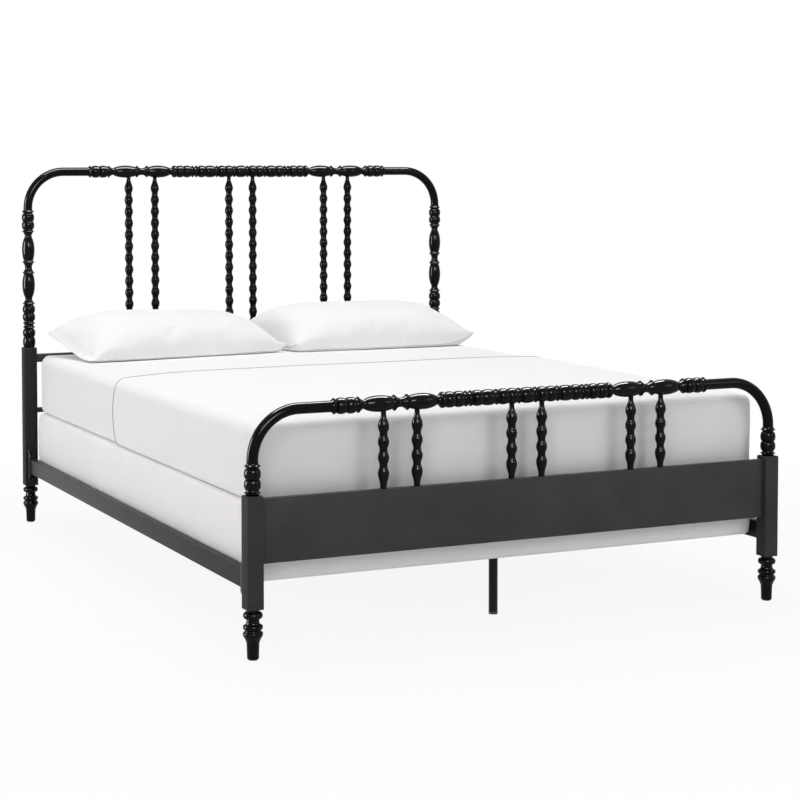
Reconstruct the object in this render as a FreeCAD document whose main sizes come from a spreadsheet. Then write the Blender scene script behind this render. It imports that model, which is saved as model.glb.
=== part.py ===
"""Queen size spindle bed: turned head and foot frames, side rails, centre legs and its bedding.

Frame of the model: millimetres, +X to the right as seen from the foot of the bed, +Y towards the
head, +Z up, origin on the floor under the middle of the bed.
"""
import FreeCAD
import Part
import Sketcher
import math
import os

from FreeCAD import Placement, Rotation, Vector

SIZES = [
    # the room that the mattress needs between the posts
    ("sleep_width", 1524, "width of the mattress"),
    ("sleep_length", 2032, "length of the mattress"),
    ("side_gap", 4.9, "mattress side to post"),
    ("end_gap", 27, "mattress end to post"),
    # posts
    ("post_side", 43.2, "side of the square posts"),
    ("post_ease", 2, "eased top edge of a post"),
    ("foot_post_length", 288.2, "posts at the foot"),
    ("head_post_length", 481.6, "posts at the head"),
    # bent corners
    ("foot_corner_leg", 4.8, "straight part of a bent corner above a stile at the foot"),
    ("head_corner_leg", 4, "straight part of a bent corner above a stile at the head"),
    ("corner_run", 89, "straight part of a bent corner beside the top rail"),
    ("bend_radius", 127, "centre line of a bent corner"),
    ("tube_diameter", 30, "bent corner tube"),
    # turned elements of the rails and stiles
    ("bead_diameter", 43.5, "crest of a bead"),
    ("ring_diameter", 42, "crest of a ring"),
    ("groove_diameter", 33, "groove between two elements"),
    ("bead_length", 27, "one bead along its axis"),
    ("long_bead_length", 37, "long bead along its axis"),
    ("bead_shoulder", 9, "sloping end of a bead"),
    ("ring_length", 14, "one ring along its axis"),
    ("ring_shoulder", 5.5, "sloping side of a ring"),
    ("collar_length", 15, "collar beside a vase"),
    ("waist_diameter", 24.5, "waist between two vases"),
    ("waist_length", 23, "waist along its axis"),
    ("rail_vase_length", 89, "vase of a top rail along its axis"),
    ("stile_vase_length", 93, "vase of a stile along its axis"),
    ("vase_neck_diameter", 24, "narrow end of a vase"),
    ("vase_neck_offset", 10, "narrow end of a vase from its start"),
    ("vase_belly_reach", 34, "widest place of a vase from its far end"),
    ("vase_belly_length", 24, "widest stretch of a vase"),
    # plugs that hold the turned pieces in the posts and tubes
    ("plug_diameter", 24, "plug of a stile, rail or foot"),
    ("plug_length", 25, "plug of a stile or rail along its axis"),
    ("foot_plug_gap", 5.6, "plug of a turned foot to the bolt above it"),
    ("plug_clearance", 0.3, "play around and beyond a plug"),
    # spindles
    ("spindle_bead_diameter", 30, "crest of a spindle bead"),
    ("spindle_groove_diameter", 21, "groove between spindle beads"),
    ("spindle_top_diameter", 14, "upper neck of a spindle"),
    ("spindle_base_diameter", 17, "foot of a spindle"),
    ("spindle_pitch", 41, "bead to bead"),
    ("spindle_first_drop", 60, "rail centre to the first bead"),
    ("spindle_last_rise", 40, "crossrail to the last bead"),
    ("spindle_crest_length", 10, "widest stretch of a spindle bead"),
    ("spindle_groove_length", 10, "narrow stretch between spindle beads"),
    ("spindle_flare_length", 25, "slope from the uppermost bead to the upper neck"),
    ("spindle_vase_offset", 23, "outer spindles to the ends of the vases above them"),
    ("spindle_socket_depth", 10, "spindle neck inside the top rail"),
    # turned feet
    ("glide_thickness", 3, "nylon glide under a foot"),
    ("glide_diameter", 24, "nylon glide under a foot"),
    ("foot_tip_diameter", 31, "lower end of a turned foot"),
    ("foot_toe_length", 33, "tapered toe"),
    ("foot_ankle_diameter", 33, "upper end of the toe, and the neck under the post"),
    ("foot_flare_length", 12, "flare above the toe"),
    ("foot_flare_diameter", 37.7, "upper end of the flare"),
    ("foot_cove_length", 14, "slope from the flare to the lower ring"),
    ("foot_ring_length", 6.5, "flat crest of a ring"),
    ("foot_ring_diameter", 51.4, "two rings of a turned foot"),
    ("foot_flute_length", 6.4, "half of the flute between the rings"),
    ("foot_flute_diameter", 42.5, "between the two rings"),
    ("foot_fall_length", 12.2, "slope from the upper ring to the waist"),
    ("foot_waist_length", 4.5, "waist above the rings"),
    ("foot_waist_diameter", 31.6, "waist above the rings"),
    ("foot_slope_length", 4.25, "slope below and above the ball"),
    ("foot_ball_length", 8.5, "flat crest of the ball"),
    ("foot_ball_diameter", 50.8, "ball under the post"),
    ("foot_neck_length", 7.9, "neck under the post"),
    # foot panel and head crossrails
    ("panel_thickness", 18, "foot panel"),
    ("panel_height", 166, "foot panel"),
    ("panel_drop", 8.6, "top of a post down to the foot panel"),
    ("crossrail_thickness", 20, "head crossrails"),
    ("upper_crossrail_height", 28, "upper head crossrail"),
    ("upper_crossrail_drop", 24, "top of a post down to the upper head crossrail"),
    ("lower_crossrail_height", 16, "lower head crossrail"),
    ("lower_crossrail_drop", 212, "top of a post down to the lower head crossrail"),
    ("tongue_wall", 1.6, "tongue of a panel or crossrail to the plug in the middle of the post"),
    ("tongue_clearance", 0.2, "play around a tongue"),
    # side rails and their brackets
    ("rail_depth", 24, "side rail across"),
    ("rail_height", 50, "side rail"),
    ("rail_rise", 45.6, "underside of the posts up to that of a side rail"),
    ("rail_inset", 10.1, "outer face of the post to that of the rail"),
    ("rail_wall", 2, "wall of a side rail"),
    ("flange_thickness", 4, "bracket flange against the post"),
    ("ear_thickness", 3, "bracket ear outside the rail"),
    ("ear_reach", 28, "bracket ear from the post"),
    ("ear_edge_height", 66, "free edge of a bracket ear"),
    ("bolt_spacing", 92, "two bolts of a bracket"),
    ("bolt_edge", 11, "bolt to the end of its bracket"),
    ("bolt_diameter", 8, "bracket bolt"),
    ("bolt_head_diameter", 13, "bracket bolt head across its corners"),
    ("bolt_head_height", 5.3, "bracket bolt head"),
    ("bolt_grip", 30, "bracket bolt inside the post"),
    ("bolt_clearance", 0.3, "play around a bolt"),
    # cross supports with their centre legs
    ("support_side", 22, "square tube of a cross support"),
    ("support_wall", 1.5, "wall of a cross support"),
    ("support_rise", 10, "underside of a side rail up to the top of a support"),
    ("support_inset", 166, "inner face of a post to the nearest support"),
    ("support_play", 0.3, "support in its cradle"),
    ("cradle_plate", 2.5, "sheet of a cradle"),
    ("cradle_reach", 30, "cradle from the rail"),
    ("cradle_cheek", 18, "side of a cradle above its floor"),
    ("leg_diameter", 25.2, "centre leg"),
    ("leg_wall", 1.5, "wall of a centre leg"),
    ("saddle_plate", 3, "saddle on top of a leg"),
    ("saddle_cheek", 20, "side of a saddle beside the support"),
    ("leg_bolt_diameter", 6, "bolt through a saddle"),
    ("leg_bolt_head_diameter", 11, "head and nut of a saddle bolt across their corners"),
    ("leg_bolt_head_height", 4, "head and nut of a saddle bolt"),
    ("insert_height", 14, "threaded insert in the end of a leg"),
    ("leveller_thickness", 7, "disc of a leveller"),
    ("leveller_play", 0.3, "leveller disc to leg"),
    ("leveller_stem_length", 30, "stem of a leveller"),
    # bedding
    ("box_spring_height", 199, "box spring"),
    ("box_spring_spread", 7, "box spring beyond the mattress on every side"),
    ("mattress_height", 202, "mattress"),
    ("corner_radius", 25, "corners of the mattress and box spring seen from above"),
    ("edge_radius", 28, "upper edge of the mattress"),
    ("box_spring_edge", 12, "edges of the box spring"),
    ("soft_clearance", 0.3, "between two soft pieces"),
    ("coverlet_thickness", 3.5, "coverlet"),
    ("coverlet_edge", 185, "upper end of the coverlet from the middle of the bed"),
    ("pillow_width", 730, "pillow along the head of the bed"),
    ("pillow_depth", 345, "pillow towards the foot"),
    ("pillow_loft", 168, "pillow at its middle"),
    ("pillow_seam", 6, "edge of a pillow"),
    ("pillow_draw", 16, "how far the long sides are drawn in"),
    ("pillow_shift", 3, "inner end of the left pillow beyond the middle of the bed"),
    ("pillow_gap", 36, "between the two pillows"),
    ("left_pillow_back", 24.5, "back of the left pillow to the face of the head posts"),
    ("left_pillow_turn", 3.4, "left pillow seen from above, degrees"),
    ("right_pillow_back", 14.5, "back of the right pillow to the face of the head posts"),
    ("right_pillow_turn", 1.7, "right pillow seen from above, degrees"),
]

# Elements of a turned foot from its glide upwards, each with the diameter at its upper end.
FOOT_TURNING = [
    ("toe", "ankle"),
    ("flare", "flare"),
    ("cove", "ring"),
    ("ring", "ring"),
    ("flute", "flute"),
    ("flute", "ring"),
    ("ring", "ring"),
    ("fall", "waist"),
    ("waist", "waist"),
    ("slope", "ball"),
    ("ball", "ball"),
    ("slope", "ankle"),
    ("neck", "ankle"),
]

# Sizes that follow from those above, as expressions over the sheet.
FOOT_LENGTHS = [f"sizes.foot_{name}_length" for name, _ in FOOT_TURNING]
FOOT_HEIGHT = "(" + " + ".join(["sizes.glide_thickness"] + FOOT_LENGTHS) + ")"
POST_TOP = {end: f"({FOOT_HEIGHT} + sizes.{end}_post_length)" for end in ("head", "foot")}
POST_X = "(sizes.sleep_width / 2 + sizes.side_gap + sizes.post_side / 2)"
POST_Y = "(sizes.sleep_length / 2 + sizes.end_gap + sizes.post_side / 2)"
INNER_X = "(sizes.sleep_width / 2 + sizes.side_gap)"
INNER_Y = "(sizes.sleep_length / 2 + sizes.end_gap)"
TONGUE = "(sizes.post_side / 2 - sizes.plug_diameter / 2 - sizes.tongue_wall)"
RAIL_OUTER_X = f"({POST_X} + sizes.post_side / 2 - sizes.rail_inset)"
RAIL_X = f"({RAIL_OUTER_X} - sizes.rail_depth / 2)"
RAIL_INNER_X = f"({RAIL_OUTER_X} - sizes.rail_depth)"
RAIL_ABOVE_FOOT = "(sizes.rail_rise + sizes.rail_height / 2)"
RAIL_MIDDLE = f"({FOOT_HEIGHT} + {RAIL_ABOVE_FOOT})"
LOWEST_BOLT = f"({RAIL_ABOVE_FOOT} - sizes.bolt_spacing / 2 - sizes.bolt_diameter / 2)"
FOOT_PLUG = f"({LOWEST_BOLT} - sizes.foot_plug_gap)"
BRACKET_HEIGHT = "(sizes.bolt_spacing + 2 * sizes.bolt_edge)"
BOLT_LENGTH = "(sizes.flange_thickness + sizes.bolt_grip)"
SUPPORT_TOP = f"({FOOT_HEIGHT} + sizes.rail_rise + sizes.support_rise)"
SUPPORT_MIDDLE = f"({SUPPORT_TOP} - sizes.support_side / 2)"
SUPPORT_BOTTOM = f"({SUPPORT_TOP} - sizes.support_side)"
SUPPORT_REACH = f"({INNER_Y} - sizes.support_inset)"
CRADLE_FACE = f"({RAIL_INNER_X} - sizes.cradle_plate)"
MATTRESS_BOTTOM = f"({SUPPORT_TOP} + sizes.box_spring_height + sizes.soft_clearance)"

SIDES = {"left": -1, "right": 1}
ENDS = {"foot": -1, "head": 1}
Z_AXIS = Vector(0, 0, 1)

doc = FreeCAD.newDocument("spindle_bed")
sizes = doc.addObject("Spreadsheet::Sheet", "sizes")
nodes = []


def fill_sheet():
    """One row for each driving size: its meaning, its value and its name."""
    for row, (name, value, meaning) in enumerate(SIZES, 1):
        sizes.set(f"A{row}", meaning)
        sizes.set(f"B{row}", str(value))
        sizes.setAlias(f"B{row}", name)
    doc.recompute()


def value(expression):
    """Number that a size, or an expression over the sizes, stands for."""
    return float(sizes.evalExpression(expression))


def node(feature):
    """Keeps a finished piece, whose label names its file."""
    nodes.append(feature)
    return feature


def place(feature, x="0", y="0", z="0", turn=None):
    """Binds where a piece lies to expressions."""
    if turn:
        feature.Placement = Placement(Vector(), turn)
    for axis, expression in zip("xyz", (x, y, z)):
        if expression != "0":
            feature.setExpression(f"Placement.Base.{axis}", expression)
    return feature


# ---- sketches and pads -------------------------------------------------------------------------


def new_sketch(body, name, role, lift=None):
    """Sketch on an origin plane of its own body, lifted off it along its normal if asked."""
    sketch = body.newObject("Sketcher::SketchObject", name)
    origin_plane = next(f for f in body.Origin.OriginFeatures if f.Role == role)
    sketch.AttachmentSupport = [(origin_plane, "")]
    sketch.MapMode = "FlatFace"
    if lift:
        sketch.setExpression("AttachmentOffset.Base.z", lift)
    return sketch


def bind(sketch, constraint, name, expression):
    """Adds a dimension and ties it to an expression."""
    index = sketch.addConstraint(constraint)
    sketch.renameConstraint(index, name)
    sketch.setExpression(f"Constraints.{name}", expression)


def rectangle(sketch, across, upward, names=("across", "upward")):
    """Rectangle with its middle on the sketch's origin."""
    first = sketch.GeometryCount
    corners = [Vector(-9, -9, 0), Vector(9, -9, 0), Vector(9, 9, 0), Vector(-9, 9, 0)]
    for k in range(4):
        sketch.addGeometry(Part.LineSegment(corners[k], corners[(k + 1) % 4]), False)
    for k in range(4):
        after = first + (k + 1) % 4
        sketch.addConstraint(Sketcher.Constraint("Coincident", first + k, 2, after, 1))
    for k in (0, 2):
        sketch.addConstraint(Sketcher.Constraint("Horizontal", first + k))
        sketch.addConstraint(Sketcher.Constraint("Vertical", first + k + 1))
    sketch.addConstraint(Sketcher.Constraint("Symmetric", first, 1, first + 2, 1, -1, 1))
    bind(sketch, Sketcher.Constraint("DistanceX", first, 1, first, 2, 18), names[0], across)
    bind(sketch, Sketcher.Constraint("DistanceY", first + 1, 1, first + 1, 2, 18), names[1], upward)


def pad(body, sketch, length, name="pad", symmetric=False, backwards=False):
    """Pads a sketch and makes it the body's tip."""
    feature = body.newObject("PartDesign::Pad", name)
    feature.Profile = sketch
    feature.setExpression("Length", length)
    if symmetric:
        feature.SideType = "Symmetric"
    feature.Reversed = backwards
    body.Tip = feature
    sketch.Visibility = False
    return feature


def new_body(label):
    body = doc.addObject("PartDesign::Body", label)
    body.Label = label
    return body


def member(label, role, across, upward, length, wall=None):
    """Straight piece of rectangular section, middle on its origin, hollow if it has a wall."""
    body = new_body(label)
    sketch = new_sketch(body, "section", role)
    rectangle(sketch, across, upward)
    if wall:
        inner = (f"{across} - 2 * {wall}", f"{upward} - 2 * {wall}")
        rectangle(sketch, *inner, names=("inner_across", "inner_upward"))
    pad(body, sketch, length, symmetric=True)
    return body


# ---- solids made in code -----------------------------------------------------------------------


def solid_feature(label, shape, placement=None):
    """Piece whose shape is worked out in code from the sheet, placed afterwards."""
    feature = doc.addObject("Part::Feature", label)
    feature.Label = label
    feature.Shape = shape
    if placement:
        feature.Placement = placement
    return feature


def rod(diameter, low, high, x=0, y=0):
    """Round bar along +Z between two heights."""
    return Part.makeCylinder(diameter / 2, high - low, Vector(x, y, low), Z_AXIS)


def block(low, high):
    """Box between two opposite corners."""
    size = high - low
    return Part.makeBox(size.x, size.y, size.z, low)


def group(solids):
    """Several separate solids as one piece."""
    return Part.makeCompound(solids)


# ---- turned outlines ---------------------------------------------------------------------------

# Elements of the turnings in order, from the middle of a rail outwards and up a stile.
CENTRE_RUN = ["ring", "bead", "bead", "ring", "long", "bead", "ring", "ring", "bead", "bead", "collar"]
VASES = ["rising_vase", "ring", "waist", "ring", "falling_vase"]
END_RUN = ["ring", "bead", "bead", "ring"]
HALF_RAIL = CENTRE_RUN + VASES + END_RUN
STILE_RUN = ["long", "bead", "ring", "ring", "bead", "bead", "ring"]
FLIPPED = {"rising_vase": "falling_vase", "falling_vase": "rising_vase"}


def flipped(elements):
    """The same elements seen from the other end."""
    return [FLIPPED.get(kind, kind) for kind in reversed(elements)]


def element_length(kind, vase_length):
    if kind.endswith("vase"):
        return vase_length
    name = "long_bead" if kind == "long" else kind
    return value(f"sizes.{name}_length")


def run_length(elements, vase_length):
    return sum(element_length(kind, vase_length) for kind in elements)


class Outline:
    """Half outline of a turning, drawn from its lower end as height and radius."""

    def __init__(self, height, radius):
        self.start = Vector(radius, 0, height)
        self.last = self.start
        self.edges = []
        self.origin = 0
        self.stretch = 1

    def draw_out(self, origin, stretch):
        """From here on, heights are drawn out or pressed together from an origin."""
        self.origin = origin
        self.stretch = stretch

    def line(self, height, radius):
        """Straight flank to the next point."""
        point = Vector(radius, 0, self.origin + (height - self.origin) * self.stretch)
        if point.distanceToPoint(self.last) > 1e-6:
            self.edges.append(Part.LineSegment(self.last, point).toShape())
            self.last = point

    def solid(self):
        """Turns the outline about the Z axis."""
        top = Vector(0, 0, self.last.z)
        bottom = Vector(0, 0, self.start.z)
        closing = [
            Part.LineSegment(self.last, top).toShape(),
            Part.LineSegment(top, bottom).toShape(),
            Part.LineSegment(bottom, self.start).toShape(),
        ]
        face = Part.Face(Part.Wire(self.edges + closing))
        return face.revolve(Vector(), Z_AXIS, 360)


def add_bead(outline, height, length, diameter, shoulder):
    """Bead or ring: a crest between two shoulders that slope down to grooves."""
    groove = value("sizes.groove_diameter") / 2
    outline.line(height, groove)
    outline.line(height + shoulder, diameter / 2)
    outline.line(height + length - shoulder, diameter / 2)
    outline.line(height + length, groove)


def add_vase(outline, height, length, rising):
    """Vase: a narrow neck that swells to a belly near its other end, which is its top if rising."""
    groove = value("sizes.groove_diameter") / 2
    neck = value("sizes.vase_neck_diameter") / 2
    belly = value("sizes.bead_diameter") / 2
    half_belly = value("sizes.vase_belly_length") / 2
    neck_at = value("sizes.vase_neck_offset")
    belly_at = length - value("sizes.vase_belly_reach")
    hip_at = (neck_at + belly_at - half_belly) / 2
    hip = neck + 0.65 * (belly - neck)
    waning = (length + belly_at + half_belly) / 2
    wane = groove + 0.65 * (belly - groove)
    points = [
        (0, groove),
        (neck_at, neck),
        (hip_at, hip),
        (belly_at - half_belly, belly),
        (belly_at + half_belly, belly),
        (waning, wane),
        (length, groove),
    ]
    if not rising:
        points = [(length - along, radius) for along, radius in reversed(points)]
    for along, radius in points:
        outline.line(height + along, radius)


def add_element(outline, kind, height, vase_length):
    """Adds one named element and gives the height where the next one starts."""
    length = element_length(kind, vase_length)
    if kind == "ring":
        add_bead(outline, height, length, value("sizes.ring_diameter"), value("sizes.ring_shoulder"))
    elif kind in ("bead", "long"):
        add_bead(outline, height, length, value("sizes.bead_diameter"), value("sizes.bead_shoulder"))
    elif kind == "collar":
        add_bead(outline, height, length, value("sizes.bead_diameter"), value("sizes.ring_shoulder"))
    elif kind == "waist":
        waist = value("sizes.waist_diameter") / 2
        outline.line(height, waist)
        outline.line(height + length, waist)
    else:
        add_vase(outline, height, length, rising=kind == "rising_vase")
    return height + length


def turning(elements, start, vase_length, stretch=1):
    """Turned bar of these elements from a height upwards, with a plug at each end."""
    plug = value("sizes.plug_diameter") / 2
    reach = value("sizes.plug_length")
    outline = Outline(start - reach, plug)
    outline.line(start, plug)
    outline.draw_out(start, stretch)
    height = start
    for kind in elements:
        height = add_element(outline, kind, height, vase_length)
    outline.line(height, plug)
    outline.draw_out(outline.last.z, 1)
    outline.line(outline.last.z + reach, plug)
    return outline.solid()


# ---- head and foot frames ----------------------------------------------------------------------

STILES = {"head": STILE_RUN + VASES + END_RUN, "foot": END_RUN}
RAIL_ELEMENTS = flipped(HALF_RAIL) + ["long"] + HALF_RAIL
# What spans the posts at each end, from the one that carries the spindles downwards.
SPANS = {
    "foot": [("panel", "sizes.panel_thickness")],
    "head": [
        ("upper_crossrail", "sizes.crossrail_thickness"),
        ("lower_crossrail", "sizes.crossrail_thickness"),
    ],
}


def half_rail_length():
    """The top rail fills the room between its two bent corners."""
    return value(f"{POST_X} - sizes.bend_radius - sizes.corner_run")


def rail_stretch():
    """How much the elements of a top rail are drawn out to fill it."""
    return 2 * half_rail_length() / run_length(RAIL_ELEMENTS, value("sizes.rail_vase_length"))


def spindle_places():
    """Distances from the middle of the rail: under the second bead and under both vases."""
    vase = value("sizes.rail_vase_length")
    offset = value("sizes.spindle_vase_offset")
    middle = value("sizes.long_bead_length") / 2
    inner = middle + run_length(["ring"], vase) + value("sizes.bead_length") / 2
    rising_end = middle + run_length(CENTRE_RUN + VASES[:1], vase)
    falling_start = middle + run_length(CENTRE_RUN + VASES[:-1], vase)
    return [distance * rail_stretch() for distance in (inner, rising_end - offset, falling_start + offset)]


def make_post(end, side):
    """Square post with sockets for its foot and stile, slots for what spans the bed end and bores
    for the bolts of the rail bracket."""
    sign_x, sign_y = SIDES[side], ENDS[end]
    body = new_body(f"{end}_post_{side}")
    sketch = new_sketch(body, "section", "XY_Plane")
    rectangle(sketch, "sizes.post_side", "sizes.post_side")
    height = f"sizes.{end}_post_length"
    post = pad(body, sketch, height)
    doc.recompute()
    top_face = max(range(len(post.Shape.Faces)), key=lambda k: post.Shape.Faces[k].CenterOfMass.z)
    eased = body.newObject("PartDesign::Chamfer", "eased_top")
    eased.Base = (post, [f"Face{top_face + 1}"])
    eased.setExpression("Size", "sizes.post_ease")
    body.Tip = eased
    add_sockets(body, height)
    for name, thickness in SPANS[end]:
        add_slot(body, name, thickness, height, sign_x)
    add_bolt_bores(body, sign_x, sign_y)
    place(body, f"{sign_x} * {POST_X}", f"{sign_y} * {POST_Y}", FOOT_HEIGHT)
    return node(body)


def pocket(body, sketch, name, length, backwards=False):
    feature = body.newObject("PartDesign::Pocket", name)
    feature.Profile = sketch
    feature.setExpression("Length", length)
    feature.Reversed = backwards
    body.Tip = feature
    return feature


def circle(sketch, diameter, across="0", upward="0", name="bore"):
    """Circle whose diameter and middle are bound."""
    index = sketch.addGeometry(Part.Circle(Vector(5, 7, 0), Z_AXIS, 3), False)
    bind(sketch, Sketcher.Constraint("Diameter", index, 6), f"{name}_diameter", diameter)
    for kind, expression, label in (("DistanceX", across, "across"), ("DistanceY", upward, "upward")):
        if expression == "0":
            line = -2 if kind == "DistanceX" else -1
            sketch.addConstraint(Sketcher.Constraint("PointOnObject", index, 3, line))
        else:
            constraint = Sketcher.Constraint(kind, -1, 1, index, 3, 5)
            bind(sketch, constraint, f"{name}_{label}", expression)


def add_sockets(body, height):
    """Round sockets in both ends of a post for the plugs of its foot and its stile."""
    diameter = "sizes.plug_diameter + 2 * sizes.plug_clearance"
    lower = new_sketch(body, "foot_socket_outline", "XY_Plane")
    circle(lower, diameter)
    pocket(body, lower, "foot_socket", f"{FOOT_PLUG} + sizes.plug_clearance", backwards=True)
    upper = new_sketch(body, "stile_socket_outline", "XY_Plane", lift=height)
    circle(upper, diameter)
    pocket(body, upper, "stile_socket", "sizes.plug_length + sizes.plug_clearance")


def span_middle(name, top):
    """Height of the middle of a panel or crossrail below the top of the posts."""
    return f"({top} - sizes.{name}_drop - sizes.{name}_height / 2)"


def add_slot(body, name, thickness, post_length, sign_x):
    """Slot in the inner face of a post for the tongue of a panel or crossrail."""
    sketch = new_sketch(body, f"{name}_slot_outline", "YZ_Plane", lift=f"{-sign_x} * sizes.post_side / 2")
    sketch.setExpression("AttachmentOffset.Base.y", span_middle(name, post_length))
    play = "2 * sizes.tongue_clearance"
    rectangle(sketch, f"{thickness} + {play}", f"sizes.{name}_height + {play}")
    pocket(body, sketch, f"{name}_slot", f"{TONGUE} + sizes.tongue_clearance", backwards=sign_x > 0)


def add_bolt_bores(body, sign_x, sign_y):
    """Two bores from the bed side of a post for the bolts of the rail bracket."""
    sketch = new_sketch(body, "bolt_bore_outline", "XZ_Plane", lift=f"{sign_y} * sizes.post_side / 2")
    across = f"{sign_x} * ({RAIL_X} - {POST_X})"
    for name, sign in (("lower", -1), ("upper", 1)):
        upward = f"{RAIL_ABOVE_FOOT} + {sign} * sizes.bolt_spacing / 2"
        circle(sketch, "sizes.bolt_diameter + 2 * sizes.bolt_clearance", across, upward, name)
    pocket(body, sketch, "bolt_bores", "sizes.bolt_grip + sizes.bolt_clearance", backwards=sign_y < 0)


def make_foot(end, side):
    """Turned foot with a tapered toe, two rings and a ball, plugged into its post."""
    height = value("sizes.glide_thickness")
    outline = Outline(height, value("sizes.foot_tip_diameter") / 2)
    for name, upper in FOOT_TURNING:
        height += value(f"sizes.foot_{name}_length")
        outline.line(height, value(f"sizes.foot_{upper}_diameter") / 2)
    plug = value("sizes.plug_diameter") / 2
    outline.line(height, plug)
    outline.line(height + value(FOOT_PLUG), plug)
    where = Vector(SIDES[side] * value(POST_X), ENDS[end] * value(POST_Y), 0)
    label = f"turned_foot_{end}_{side}"
    return node(solid_feature(label, outline.solid(), Placement(where, Rotation())))


def stile_top(end):
    """Height where a stile ends and the bent corner begins."""
    return value(POST_TOP[end]) + run_length(STILES[end], value("sizes.stile_vase_length"))


def rail_height(end):
    """Height of the centre line of a top rail."""
    return stile_top(end) + value(f"sizes.{end}_corner_leg + sizes.bend_radius")


def make_stile(end, side):
    """Turned stile on top of a post."""
    shape = turning(STILES[end], value(POST_TOP[end]), value("sizes.stile_vase_length"))
    where = Vector(SIDES[side] * value(POST_X), ENDS[end] * value(POST_Y), 0)
    return node(solid_feature(f"{end}_stile_{side}", shape, Placement(where, Rotation())))


def make_corner(end, side):
    """Bent corner from the top of a stile into the end of the top rail, with a socket at each end
    for their plugs."""
    radius = value("sizes.tube_diameter") / 2
    bend = value("sizes.bend_radius")
    low = stile_top(end)
    high = rail_height(end)
    post_x = value(POST_X)
    rail_end = half_rail_length()
    bend_start = Vector(post_x, 0, high - bend)
    leg = Part.makeCylinder(radius, bend_start.z - low, Vector(post_x, 0, low), Z_AXIS)
    section = Part.Face(Part.Wire(Part.Circle(bend_start, Z_AXIS, radius).toShape()))
    elbow = section.revolve(Vector(post_x - bend, 0, high - bend), Vector(0, -1, 0), 90)
    run = Part.makeCylinder(radius, post_x - bend - rail_end, Vector(rail_end, 0, high), Vector(1, 0, 0))
    corner = leg.fuse([elbow, run]).removeSplitter()
    bore = value("sizes.plug_diameter / 2 + sizes.plug_clearance")
    depth = value("sizes.plug_length + sizes.plug_clearance")
    lower_socket = Part.makeCylinder(bore, depth, Vector(post_x, 0, low), Z_AXIS)
    rail_socket = Part.makeCylinder(bore, depth, Vector(rail_end, 0, high), Vector(1, 0, 0))
    corner = corner.cut([lower_socket, rail_socket])
    turn = Rotation(Z_AXIS, 0 if side == "right" else 180)
    where = Vector(0, ENDS[end] * value(POST_Y), 0)
    return node(solid_feature(f"{end}_corner_{side}", corner, Placement(where, turn)))


def make_top_rail(end):
    """Turned top rail along X with a socket in its underside for each spindle."""
    shape = turning(RAIL_ELEMENTS, -half_rail_length(), value("sizes.rail_vase_length"), rail_stretch())
    bore = value("sizes.spindle_top_diameter / 2 + sizes.plug_clearance")
    crest = value("sizes.bead_diameter / 2")
    depth = value("sizes.spindle_socket_depth + sizes.plug_clearance")
    sockets = []
    for distance in spindle_places():
        for sign in SIDES.values():
            # the rail is still upright here, and its +X side will face down
            base = Vector(crest - depth, 0, sign * distance)
            sockets.append(Part.makeCylinder(bore, 2 * depth, base, Vector(1, 0, 0)))
    shape = shape.cut(sockets)
    lying = Rotation(Vector(0, 1, 0), 90)
    where = Vector(0, ENDS[end] * value(POST_Y), rail_height(end))
    return node(solid_feature(f"{end}_rail", shape, Placement(where, lying)))


def spindle(top, bottom):
    """Beaded spindle between the underside of a rail and what it stands on."""
    bead = value("sizes.spindle_bead_diameter") / 2
    groove = value("sizes.spindle_groove_diameter") / 2
    neck = value("sizes.spindle_top_diameter") / 2
    half_crest = value("sizes.spindle_crest_length") / 2
    half_groove = value("sizes.spindle_groove_length") / 2
    first = top - value("sizes.spindle_first_drop")
    last = bottom + value("sizes.spindle_last_rise")
    gaps = round((first - last) / value("sizes.spindle_pitch"))
    pitch = (first - last) / gaps
    socket_end = top - value("sizes.bead_diameter / 2 - sizes.spindle_socket_depth")
    outline = Outline(bottom, value("sizes.spindle_base_diameter") / 2)
    for count in range(gaps + 1):
        crest = last + count * pitch
        outline.line(crest - half_crest, bead)
        outline.line(crest + half_crest, bead)
        if count < gaps:
            outline.line(crest + pitch / 2 - half_groove, groove)
            outline.line(crest + pitch / 2 + half_groove, groove)
    outline.line(first + half_crest + value("sizes.spindle_flare_length"), neck)
    outline.line(socket_end, neck)
    return outline.solid()


def make_spindles(end):
    """Three pairs of spindles between a top rail and the panel or crossrail below it."""
    carrier, _ = SPANS[end][0]
    one = spindle(rail_height(end), value(f"{POST_TOP[end]} - sizes.{carrier}_drop"))
    inner, middle, outer = spindle_places()
    pairs = {"left": (-outer, -middle), "middle": (-inner, inner), "right": (middle, outer)}
    where = Placement(Vector(0, ENDS[end] * value(POST_Y), 0), Rotation())
    for name, distances in pairs.items():
        solids = [one.translated(Vector(distance, 0, 0)) for distance in distances]
        node(solid_feature(f"{end}_spindles_{name}", group(solids), where))


def make_spans(end):
    """Foot panel or the two head crossrails, whose ends are tongues in the posts."""
    length = f"2 * ({INNER_X} + {TONGUE})"
    for name, thickness in SPANS[end]:
        board = member(f"{end}_{name}", "YZ_Plane", thickness, f"sizes.{name}_height", length)
        place(node(board), y=f"{ENDS[end]} * {POST_Y}", z=span_middle(name, POST_TOP[end]))


def make_glides():
    """Nylon glide under each turned foot."""
    diameter = value("sizes.glide_diameter")
    thickness = value("sizes.glide_thickness")
    corners = [(x * value(POST_X), y * value(POST_Y)) for x in (-1, 1) for y in (-1, 1)]
    solids = [rod(diameter, 0, thickness, x, y) for x, y in corners]
    node(solid_feature("foot_glides", group(solids)))


# ---- side rails --------------------------------------------------------------------------------


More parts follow.
